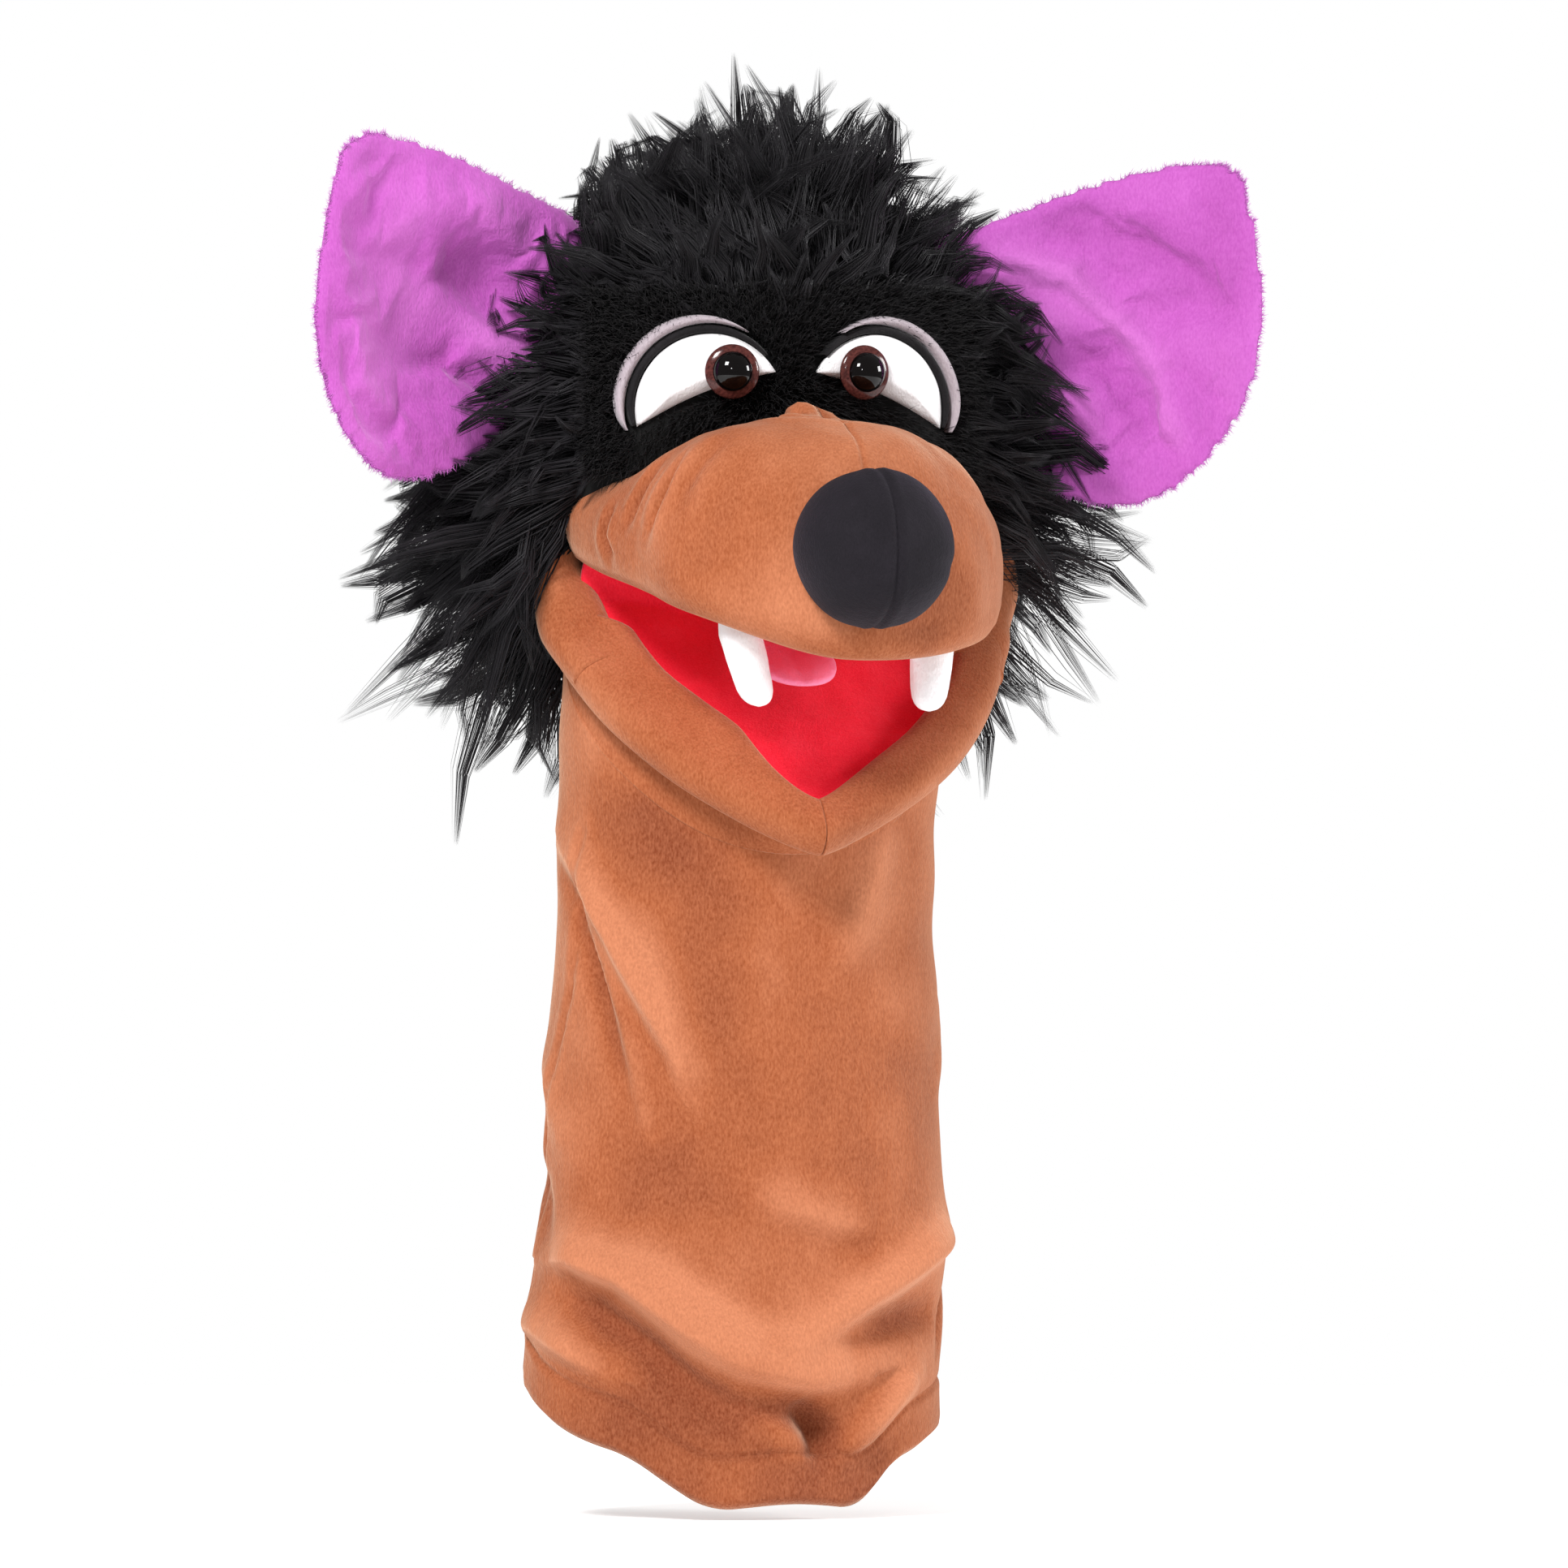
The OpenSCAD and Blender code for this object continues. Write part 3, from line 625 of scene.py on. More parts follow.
def make_sleeve(material):
    turns = np.linspace(-180, 180, 220, endpoint=False)
    lower = tube("sleeve_lower", turns, np.linspace(0, 1, 150),
                 lambda turn, t: hem_z(turn) + t ** 1.05 * (SPLIT_Z - hem_z(turn)), hem_thick)
    upper = tube("sleeve_upper", turns, np.linspace(0, 1, 84),
                 lambda turn, t: SPLIT_Z + t * (throat_edge(turn) - SPLIT_Z),
                 lambda turn, z: np.full_like(z, CLOTH))
    fix_split_shading(lower, upper)
    finish_piece(lower, material, None, "sleeve_front_panel", "sleeve_back_panel", "hem_facing")
    finish_piece(upper, material, None, "neck_front_panel", "neck_back_panel", "neck_gather")
    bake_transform(lower)
    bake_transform(upper)


def fix_split_shading(lower, upper):
    """Gives both sides of the twist line the same normals, so that no line shows there."""
    for piece in (lower, upper):
        normals = np.array([v.normal[:] for v in piece.data.vertices])
        points = points_of(piece)
        radial = unit(normals * [1, 1, 0])
        outside = (points[:, :2] * radial[:, :2]).sum(1) > 0
        pick = (np.abs(points[:, 2] - SPLIT_Z) < 0.5) & outside
        normals[pick] = radial[pick]
        piece.data.normals_split_custom_set_from_vertices(normals.tolist())


def make_throat(material):
    """The cloth from the sleeve up to the jaw's outer edge, one curved sheet."""
    turn = np.linspace(-96, 96, 120)
    t_lip = np.interp(turn, [-96, 96], [177, 3])
    low = sleeve_skin(turn, throat_edge(turn))[0] - [0, 0, 1.5]
    x, ahead = jaw_outline(JAW_HALF - 12, JAW_LONG - 15, t_lip)
    high = fold_point(JAW_SLOPE, x, ahead, -12.5)
    share = np.linspace(0, 1, 40)[:, None, None]
    grid = low[None] * (1 - share) + high[None] * share
    facing = normals_of(grid)
    facing = facing * (1 if facing[20, 60][1] < 0 else -1)
    grid += facing * (0.8 * ripple(grid, 24, 9) * np.sin(math.pi * share[..., 0]))[..., None]
    piece = sheet_between("throat", grid, grid - facing * CLOTH)
    finish_piece(piece, material, None, "throat_panel", fill=0.2)
    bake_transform(piece)


# ---------- mouth ----------

MOUTH_MID = 45


def outline(half, long, p, q, degrees):
    """A mouth outline: sideways and ahead, from one corner at 0 to the other at 180 degrees."""
    t = np.radians(degrees)
    side = power(np.cos(t), 2 * q)
    return half * side, long * np.abs(np.sin(t)) ** (2 / p)


def jaw_outline(half, long, degrees):
    x, ahead = outline(half, long, 2, 0.8, degrees)
    return x * (1 + 0.15 * smooth01(x / 50)), ahead


def slimmer(x, ahead):
    """Sideways places on the muzzle, which is narrower where it meets the fur on one side."""
    return x * (1 - 0.085 * smooth01(-x / 50) * smooth01((94 - ahead) / 30))


def snout_outline(half, long, degrees):
    x, ahead = outline(half, long, 2.8, 0.56, degrees)
    return slimmer(x, ahead), ahead


def across_from(x, ahead):
    """The way outwards from a point inside the mouth, at each point of an outline."""
    return unit(np.stack([x, ahead - MOUTH_MID], -1))


def make_lower_lip(material):
    """The padded rim of the jaw, with a seam at the chin."""
    turn, arc = np.meshgrid(np.linspace(3, 177, 200), full_turn(40), indexing="ij")
    corner = np.abs(turn - 90) / 87
    x, ahead = jaw_outline(JAW_HALF, JAW_LONG, turn)
    half_w = 8.8 + 3.0 * corner ** 2 + 5.2 * smooth01(-x / 42)
    half_h = 7.0 + 1.0 * corner
    out = across_from(x, ahead)
    centre = np.stack([x, ahead], -1) - out * half_w[..., None]
    grow = 1 - 0.16 * bell(turn - 90, 1.1) + 0.015 * ripple(np.stack([x, ahead, 0 * x], -1), 22, 12)
    w = half_w * power(np.cos(arc), 0.62) * grow
    h = half_h * power(np.sin(arc), 0.8) * grow
    flat = centre + out * w[..., None]
    grid = fold_point(JAW_SLOPE, flat[..., 0], flat[..., 1], -0.8 - half_h + h - 0.10 * w)
    finish_piece(closed_form("lower_lip", grid), material, "jaw", "lip_left", "lip_right", fill=0.7)


def make_mouth_lining(material):
    """Red velour from the palate round the fold and over the floor of the mouth, one continuous sheet."""
    cols = np.linspace(-1, 1, 60)
    floor = np.linspace(JAW_LONG - 17, 9, 50)
    bend = np.linspace(0, 1, 14)[1:-1]
    palate = np.linspace(9, 106, 50)
    rows = []
    for s in floor:
        half = lining_half(s, 61, JAW_LONG - 17, jaw_outline)
        rise = 1.8 * (1 - cols ** 2) * math.sin(math.pi * min(s / JAW_LONG, 1)) + 1.6 * np.abs(cols) ** 6
        rows.append(fold_point(JAW_SLOPE, cols * half, s, rise - 8.2))
    for s in bend:
        slope = JAW_SLOPE + (PALATE_SLOPE - JAW_SLOPE) * s
        rows.append(fold_point(slope, cols * 61, 9 - 5 * math.sin(math.pi * s), s * 12.6 - 8.2))
    for s in palate:
        half = lining_half(s, 60, 107, snout_outline)
        sag = -1.5 * (1 - cols ** 2) * math.sin(math.pi * min(s / 106, 1))
        rows.append(fold_point(PALATE_SLOPE, cols * half, s, sag + 4.4))
    grid = np.array(rows)
    grid += normals_of(grid) * (0.45 * ripple(grid, 20, 21) + 0.2 * ripple(grid, 8, 22))[..., None]
    share = np.concatenate([smooth01((40 - floor) / 34) * 0.8, 0.8 + 0.2 * bend, np.ones(len(palate))])
    grid[..., 2] += left_lift(grid[..., 0]) * share[:, None]
    away = ([-fold_normal(JAW_SLOPE)] * len(floor) + [[0, 1, 0]] * len(bend)
            + [fold_normal(PALATE_SLOPE)] * len(palate))
    inward = 1.6 * np.array(away)[:, None]
    piece = sheet_between("mouth_lining", grid, grid + inward)
    finish_piece(piece, material, None, "palate_lining", "mouth_fold", "mouth_floor_lining")
    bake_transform(piece)


def left_lift(x):
    """How much higher the puppet's right corner of the mouth sits."""
    return 7.0 * smooth01((-x - 4) / 52)


def make_palate_board(material):
    """The stiff board over the palate, which follows the lining below it."""
    cols = np.linspace(-1, 1, 40)
    rows = []
    for s in np.linspace(12, 104, 40):
        half = lining_half(s, 58, 105, snout_outline)
        rows.append(fold_point(PALATE_SLOPE, cols * half, s, 6.4))
    grid = np.array(rows)
    grid[..., 2] += left_lift(grid[..., 0])
    piece = sheet_between("palate_board", grid, grid + fold_normal(PALATE_SLOPE) * 2)
    finish_piece(piece, material, "head", "upper_mouth_board")


def fold_normal(slope):
    return np.array([0, -math.sin(slope), math.cos(slope)])


def lining_half(s, half, long, shape):
    """Half the width of an outline at a distance ahead of the fold."""
    degrees = np.linspace(0, 90, 181)
    x, ahead = shape(half, long, degrees)
    return float(np.interp(s, ahead, x)) + 1.0


def make_tongue(material):
    """A soft flat tongue with a groove down its middle and a round tip."""
    low, high = box("tongue")
    half = (high[0] - low[0]) / 2
    long = 52
    slope = JAW_SLOPE - math.radians(22)
    share, arc = np.meshgrid(np.linspace(0, 1, 40), full_turn(36), indexing="ij")
    ahead = long * share
    wide = half * (0.84 + 0.16 * share) * np.sqrt(np.clip(1 - np.clip((ahead - 35) / 17.2, 0, 1) ** 2.2, 0, 1))
    thick = 3.6 * (1 - 0.35 * share) * np.clip(wide / half * 1.3, 0.02, 1)
    x = wide * power(np.cos(arc), 0.8)
    h = thick * power(np.sin(arc), 0.8)
    h = h - 1.3 * bell(x, 2.4) * (np.sin(arc) > 0) * np.clip(wide / half, 0, 1) - 2.5 * share ** 2
    grid = fold_point(slope, x, ahead, h, joint_at("tongue_lift"))
    grid += (0.25 * ripple(grid, 9, 31))[..., None] * np.array([0, -0.4, 1])
    finish_piece(closed_form("tongue_soft", grid), material, "tongue", "tongue", fill=0.5)


# Radius of a fang by its share of the way down
FANG_SHAPE = [(0, 6.4), (0.2, 7.6), (0.45, 7.3), (0.7, 6.6), (0.82, 6.0),
              (0.9, 5.0), (0.95, 3.8), (0.98, 2.4), (1, 0.2)]


def make_fang(side, name, node, lean, material):
    """A stuffed cloth tooth, blunt at its tip, where its seam pulls the cloth in."""
    low, high = box(node)
    middle = (low + high) / 2
    tip = low[2] + (4.5 if side < 0 else 3.0)
    top = high[2] + (9.0 if side < 0 else 5.0)
    long = top - tip
    down, arc = np.meshgrid(1 - np.linspace(1, 0, 40) ** 1.5, full_turn(32), indexing="ij")
    radius = curve_at(down, FANG_SHAPE) * (1 - 0.07 * bell(np.sin(arc), 0.25))
    centre_x = middle[0] + (2.5 if side < 0 else 0) + lean * (down - 0.4) * long
    grid = np.stack([centre_x + radius * np.cos(arc), middle[1] + 0.82 * radius * np.sin(arc), top - down * long], -1)
    grid += (0.35 * ripple(grid, 7, 40 + side))[..., None] * np.stack([np.cos(arc), np.sin(arc), 0 * arc], -1)
    piece = finish_piece(closed_form(name, grid), material, "head", node, fill=0.8)
    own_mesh(piece)


# ---------- snout ----------

SPINE = [(31, 316), (45, 323), (56, 330), (66, 334.5), (76, 336), (88, 335), (98, 331), (108, 325)]
SNOUT_ROLL = math.radians(2)
CREASE_GAIN = 1.45
# Creases of the snout's cloth: the path as sideways, ahead and height, then width and depth
SNOUT_CREASES = [
    ([(-50, 84, 322), (-57, 82, 310), (-61, 78, 298), (-62, 74, 288)], 2.4, 2.8),
    ([(-60, 66, 316), (-66, 62, 303), (-68, 58, 291)], 2.2, 2.2),
    ([(-40, 92, 326), (-49, 92, 314), (-54, 90, 300)], 3.2, 1.5),
    ([(-70, 46, 300), (-72, 44, 288), (-70, 50, 280)], 1.8, 2.0),
    ([(-38, 66, 334), (-52, 60, 324), (-62, 52, 312)], 2.6, 1.5),
    ([(52, 96, 308), (58, 92, 300), (60, 88, 292)], 1.8, 1.9),
    ([(38, 104, 320), (48, 98, 314), (56, 92, 306)], 3.4, 1.2),
    ([(-24, 72, 334), (-14, 82, 336), (0, 88, 336), (12, 86, 336)], 3.0, 2.0),
    ([(-13, 56, 334), (-12, 66, 338), (-6, 76, 339)], 2.0, 2.6),
    ([(7, 56, 334), (8, 66, 338), (10, 78, 337)], 2.0, 2.2),
    ([(24, 74, 335), (36, 86, 332), (44, 98, 324)], 3.5, 1.5),
]


def make_snout(material):
    """The stuffed muzzle: a rolled lip below, bulging sides and a ridge that runs to the eyes."""
    degrees = np.linspace(2, 178, 260)
    lip = [(-15, 5.0), (-14.6, 2.8), (-12.5, 1.2), (-9, 0.6), (-5.5, 0.9), (-2.4, 2.4), (-0.6, 5.2), (0.6, 8.6)]
    arc = np.radians(np.linspace(0, 90, 74))[1:]
    inset = np.concatenate([[p[0] for p in lip], 0.6 + 3.2 * np.sin(2 * arc) * (arc < 1.4)])
    c = np.concatenate([np.ones(len(lip)), np.cos(arc) ** (2 / 2.75)])
    s = np.concatenate([np.zeros(len(lip)), np.sin(arc) ** (2 / 2.55)])
    up = np.concatenate([[p[1] for p in lip], np.full(len(arc), 8.6)])
    x0, a0 = snout_outline(SNOUT_HALF, SNOUT_LONG, degrees)
    ridge_ahead = 31 + (a0 - 31) * 0.78
    ridge_ahead = np.maximum(ridge_ahead, np.minimum(a0, 31))
    out = across_from(x0, a0)
    x = (x0[:, None] + out[:, :1] * inset[None]) * c[None]
    ahead = ridge_ahead[:, None] + (a0 - ridge_ahead)[:, None] * c[None] + out[:, 1:] * inset[None] * c[None]
    base = fold_point(PALATE_SLOPE, 0, ahead / math.cos(PALATE_SLOPE) - 6, 0)[..., 2]
    top = smooth_at(ridge_ahead, SPINE, 6)[:, None]
    base_ridge = FOLD[2] - (ridge_ahead[:, None] - 6) * math.tan(PALATE_SLOPE)
    z = base + up[None] + (top - base_ridge - 8.6) * s[None]
    grid = np.stack([x, -ahead, z], -1)
    nub = np.exp(-(np.abs(x + 3) / 8) ** 2.6 - np.abs((ahead - 60) / 12) ** 2.6) * smooth01((z - 316) / 8)
    grid[..., 2] += 8 * nub
    push = 1.3 * ripple(grid, 38, 51) + 0.5 * ripple(grid, 15, 52)
    for path, width, depth in SNOUT_CREASES:
        route = [(float(slimmer(px, pa)), -pa, pz) for px, pa, pz in path]
        push += CREASE_GAIN * crease(grid, route, width, depth)
    push -= 0.9 * bell(x, 1.0) * smooth01((z - 300) / 10)
    lipness = smooth01((z - base - 4) / 8)
    grid = grid + normals_of(grid) * (push * lipness)[..., None] * normal_sign(grid)
    grid[..., 2] += left_lift(grid[..., 0])
    grid = rolled(grid, SNOUT_ROLL * smooth01((ahead - 20) / 40))
    piece = make_object("snout", grid.reshape(-1, 3), grid_faces(*grid.shape[:2]))
    # Painted fold shade: the colour is darker in the creases and lighter on the bulges.
    paint_fold_shade(piece, push * FOLD_SHADE_PER_MM * lipness)
    merge_close(piece, 0.3)
    solid = piece.modifiers.new("cloth", "SOLIDIFY")
    solid.thickness = 1.8 * MM
    solid.offset = -1
    apply_modifiers(piece)
    finish_piece(piece, material, "head", "snout_cover", "snout_stuffing", "upper_lip", fill=0.8)


def rolled(grid, roll):
    """Turns points about the line through the nose, along Y."""
    x, z = grid[..., 0], grid[..., 2] - NOSE_MID[2]
    turned = grid.copy()
    turned[..., 0] = x * np.cos(roll) + z * np.sin(roll)
    turned[..., 2] = NOSE_MID[2] - x * np.sin(roll) + z * np.cos(roll)
    return turned


def normal_sign(grid):
    """1 where a grid's normals already look away from its middle, or else -1."""
    away = grid - grid.reshape(-1, 3).mean(0)
    return 1.0 if (normals_of(grid) * away).sum() > 0 else -1.0


def apply_modifiers(piece):
    bpy.context.view_layer.update()
    mesh = bpy.data.meshes.new_from_object(piece.evaluated_get(bpy.context.evaluated_depsgraph_get()))
    piece.modifiers.clear()
    piece.data = mesh


def settle_cloth(piece, hem, voxel=2.6, pressure=2.0, slack=0.07, cap=3.2, frames=22):
    """Lets a padded piece's cloth, cut a little too large, wrinkle over its filling while its hem is held."""
    before = points_of(piece)
    # The painted fold shade of the points, handed on to the nearest new points at the end.
    nap_and_fold_shade = np.array([spot.value for spot in piece.data.attributes["nap_and_fold_shade"].data])
    remesh = piece.modifiers.new("even", "REMESH")
    remesh.mode = "VOXEL"
    remesh.voxel_size = voxel * MM
    apply_modifiers(piece)
    start = points_of(piece)
    _, _, away = nearest(hem, start)
    piece.vertex_groups.new(name="held").add(np.flatnonzero(away < 5).tolist(), 1.0, "REPLACE")
    cloth = piece.modifiers.new("cloth", "CLOTH")
    cloth.settings.quality = 6
    cloth.settings.mass = 0.2
    cloth.settings.bending_stiffness = 0.08
    cloth.settings.use_pressure = True
    cloth.settings.uniform_pressure_force = pressure
    cloth.settings.shrink_min = -slack
    cloth.settings.vertex_group_mass = "held"
    cloth.settings.effector_weights.gravity = 0
    cloth.collision_settings.use_collision = False
    for step in range(1, frames + 1):
        bpy.context.scene.frame_set(step)
    apply_modifiers(piece)
    bpy.context.scene.frame_set(1)
    piece.vertex_groups.clear()
    move = points_of(piece) - start
    far = np.linalg.norm(move, axis=1, keepdims=True)
    move *= cap * np.tanh(far / cap) / np.maximum(far, 1e-6) * smooth01((away - 2) / 10)[:, None]
    piece.data.vertices.foreach_set("co", ((start + move) * MM).ravel())
    finer = piece.modifiers.new("finer", "SUBSURF")
    finer.levels = finer.render_levels = 1
    apply_modifiers(piece)
    _, same, _ = nearest(before, points_of(piece))
    paint_fold_shade(piece, nap_and_fold_shade[same])


def make_nose(material):
    """A stuffed velour ball with a seam down its middle."""
    lat, lon = np.meshgrid(np.radians(np.linspace(-62, 90, 70)), full_turn(120), indexing="ij")
    way = np.stack([np.cos(lat) * np.cos(lon), -np.sin(lat), np.cos(lat) * np.sin(lon)], -1)
    r = NOSE_R - 0.3 + 0.35 * ripple(way * NOSE_R, 16, 61)
    x = way[..., 0] * NOSE_R
    r += 0.35 * bell(np.abs(x) - 2.6, 1.6) - 0.8 * bell(x, 0.8)
    r -= 0.5 * bell(way[..., 2] * NOSE_R + 6, 2.5) * smooth01((x - 6) / 6)
    piece = closed_form("nose", NOSE_MID + way * r[..., None], 0.3)
    finish_piece(piece, material, "head", "nose_cover", "nose_stuffing", fill=0.9)


def make_cheeks(material):
    """The padded roll that runs on from each end of the lip, round the mouth's corner and up under the fur."""
    for side, name, node in ((-1, "cheek_left", "cheek_panel_left"), (1, "cheek_right", "cheek_panel_right")):
        turn = np.array([16, 9, 3.0]) if side > 0 else 180 - np.array([16, 9, 3.0])
        x, ahead = jaw_outline(JAW_HALF, JAW_LONG, turn)
        inward = across_from(x, ahead)
        start = fold_point(JAW_SLOPE, x - inward[:, 0] * 11.5, ahead - inward[:, 1] * 11.5, -8.5)
        reach = 82 if side > 0 else 66
        route = np.concatenate([start, [(side * reach, 1, 283), (side * reach, 5, 294), (side * (reach - 5), 8, 306),
                                        (side * (reach - 12), 12, 316)]])
        route = rounded_path(route, 70)
        share = np.linspace(0, 1, 70)[:, None]
        ahead_of = unit(np.gradient(route, axis=0))
        wide = np.array([side * 0.88, -0.1, -0.25]) * (1 - share) + np.array([side * 0.75, -0.65, 0]) * share
        wide = unit(wide - ahead_of * (wide * ahead_of).sum(1, keepdims=True))
        high = np.cross(ahead_of, wide)
        arc = full_turn(40)[None, :, None]
        half_w = np.interp(share, [0, 0.3, 0.7, 1], [10.8, 11.6, 10, 6])[..., None]
        half_h = np.interp(share, [0, 0.3, 0.7, 1], [7.2, 8.4, 9, 7])[..., None]
        grid = route[:, None] + wide[:, None] * half_w * power(np.cos(arc), 0.75)
        grid = grid + high[:, None] * half_h * power(np.sin(arc), 0.85)
        grid += unit(grid - route[:, None]) * (0.8 * ripple(grid, 15, 71 + side))[..., None]
        piece = finish_piece(closed_form(name, grid, 0.05), material, None, node, fill=0.6)
        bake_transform(piece)


def catmull(a, b, c, d, f):
    """Catmull-Rom from b to c, at the share f of the way."""
    return 0.5 * (2 * b + (c - a) * f + (2 * a - 5 * b + 4 * c - d) * f ** 2 + (3 * b - a - 3 * c + d) * f ** 3)


def rounded_path(points, count):
    """A smooth open line through points."""
    p = np.concatenate([2 * points[:1] - points[1:2], points, 2 * points[-1:] - points[-2:-1]])
    t = np.linspace(0, len(points) - 1, count)
    k = np.minimum(t.astype(int), len(points) - 2)
    return catmull(p[k], p[k + 1], p[k + 2], p[k + 3], (t - k)[:, None])


# ---------- eyes ----------

def eye_point(side, u, v, w):
    """A point by its place on an eye: outwards, height, and forwards from the brow."""
    u, v, w = np.broadcast_arrays(u, v, w)
    x = EYE_X + (u - EYE_X) * math.cos(EYE_TURN) + w * math.sin(EYE_TURN)
    y = EYE_PLANE + (u - EYE_X) * math.sin(EYE_TURN) - w * math.cos(EYE_TURN)
    return np.stack([side * x, y, v], -1)


def pillow(side, name, edge, thick, seed):
    """A flat shape with rounded sides from its outline, as rings that shrink towards its middle."""
    middle = edge.mean(0)
    share = np.concatenate([[0.9, 0.96], np.linspace(1, 0, 16)])
    lift = thick * (0.45 + 0.55 * np.clip(np.linspace(0, 1, 16) / 0.55, 0, 1) ** 0.5)
    lift = np.concatenate([[-0.2, 0.0], lift])
    flat = middle + (edge - middle) * share[:, None, None]
    grid = eye_point(side, flat[..., 0], flat[..., 1], lift[:, None])
    grid += (0.25 * ripple(grid, 7, seed))[..., None] * np.array([0, -1, 0])
    return closed_form(name, grid, 0.05, 1)


def pad_edge():
    """The half-moon of an eye pad: a round top and a bottom that bows up."""
    arc = np.radians(np.linspace(-13, 150, 60))
    top = PAD_MID + PAD_R * np.stack([np.cos(arc), np.sin(arc)], -1)
    t = np.linspace(0, 1, 30)[1:-1, None]
    bottom = top[-1] * (1 - t) + top[0] * t + np.array([0.25, 1]) * 2.4 * np.sin(math.pi * t)
    return np.concatenate([top, bottom])


def make_band(side, name, r0, r1, a0, a1, thick, taper):
    """A felt or plush crescent between two radii round an eye pad, rounded across and thinner at its ends."""
    t = np.linspace(0, 1, 60)
    angle = np.radians(a0 + (a1 - a0) * t)
    thin = 1.02 - taper * np.where(t < 0.5, np.abs(2 * t - 1) ** 6, np.abs(2 * t - 1) ** 2)
    way = np.stack([np.cos(angle), np.sin(angle)], -1)
    outer = PAD_MID + way * (r0 + (r1 - r0) * thin)[:, None]
    inner = PAD_MID + way * r0
    arc = np.linspace(0, math.pi, 9)[:, None, None]
    flat = (outer + inner) / 2 + (outer - inner) / 2 * np.cos(arc)
    grid = eye_point(side, flat[..., 0], flat[..., 1], 0.3 + thick * np.abs(np.sin(arc[..., 0])) ** 0.7)
    return sheet_between(name, grid, grid + [0, 1.2, 0])


def lens(side, name, radius, base, rise):
    """A shallow glossy dome."""
    arc = np.linspace(math.pi / 2, 0, 24)
    r = np.concatenate([[radius * 0.98], radius * np.sin(arc)])[:, None]
    h = np.concatenate([[-0.8], rise * np.cos(arc)])[:, None]
    angle = full_turn(64)
    grid = eye_point(side, EYE_X + r * np.cos(angle), EYE_Z + r * np.sin(angle), base + h)
    return closed_form(name, grid, 0.02, 1)


def make_eyes(white, felt, grey, iris, pupil):
    for side, tag in ((-1, "left"), (1, "right")):
        pad = pillow(side, "eye_pad_" + tag, pad_edge(), 7.0, 80 + side)
        rim = make_band(side, "eye_rim_" + tag, PAD_R + 0.2, PAD_R + 3.4, -12, 136, 4.4, 0.6)
        lid = make_band(side, "eye_lid_" + tag, PAD_R + 3.4, PAD_R + 7.4, -14, 116, 5.4, 1.0)
        ring = lens(side, "eye_ring_" + tag, EYE_R, 8.0, 2.6)
        dome = lens(side, "eye_pupil_" + tag, EYE_R * 0.74, 9.0, 5.2)
        for piece, material, node, fill in (
                (pad, white, "eye_white_", 0.7), (rim, felt, "eye_outline_", 0.5), (lid, grey, "eyelid_", 0.6),
                (ring, iris, "eye_iris_", None), (dome, pupil, "eye_dome_", None)):
            finish_piece(piece, material, "head", node + tag, fill=fill)


# ---------- ears ----------

EAR_TOP = [(-6, 398), (20, 409), (44, 418), (70, 424.5), (86, 426), (94, 424), (99, 419)]
EAR_OUTER = [(103, 405), (106, 390), (107.5, 374), (106.5, 358), (103, 345), (97, 334)]
EAR_LOW = [(88, 323), (77, 315), (64, 311.5), (48, 314), (31, 322), (12, 338), (0, 360), (-7, 380)]
EAR_MID = np.array([52, 368])
EAR_DROP = 3.5
EAR_FOLD_GAIN = 1.7
# Creases across an ear: the path as outwards and height, the height of the ridge and its widths
EAR_FOLDS = {
    -1: [([(14, 350), (36, 366), (56, 376)], 2.6, 5, 9), ([(24, 340), (44, 352), (62, 352)], -2.2, 6, 5),
         ([(70, 330), (84, 345), (90, 366)], 1.6, 8, 7), ([(10, 384), (34, 398), (58, 402)], 1.8, 9, 8)],
    1: [([(20, 396), (42, 388), (58, 372), (72, 362)], 3.0, 7, 4),
        ([(58, 372), (70, 356), (76, 338), (84, 326)], 3.0, 6, 4),
        ([(34, 372), (52, 360), (66, 340)], -2.6, 6, 6), ([(24, 350), (44, 348), (60, 330)], 2.2, 8, 5),
        ([(40, 408), (66, 402), (88, 386)], -1.6, 7, 8)],
}


def rounded_loop(points, count):
    """A smooth closed line through points."""
    p = np.array(points, float)
    n = len(p)
    t = np.linspace(0, n, count, endpoint=False)
    k = t.astype(int)
    return catmull(p[(k - 1) % n], p[k % n], p[(k + 1) % n], p[(k + 2) % n], (t - k)[:, None])


def ear_point(side, u, w, v):
    """A point of an ear: outwards along the ear, forwards from its plane, and height."""
    x = EAR_X + u * math.cos(EAR_SWEEP) - w * math.sin(EAR_SWEEP)
    y = -u * math.sin(EAR_SWEEP) - w * math.cos(EAR_SWEEP)
    return np.stack([side * x, y, v - side * EAR_DROP], -1)


def ear_curl(u):
    """How far an ear's outer part stands forwards."""
    return 5.0 * smooth01((u - 60) / 50)


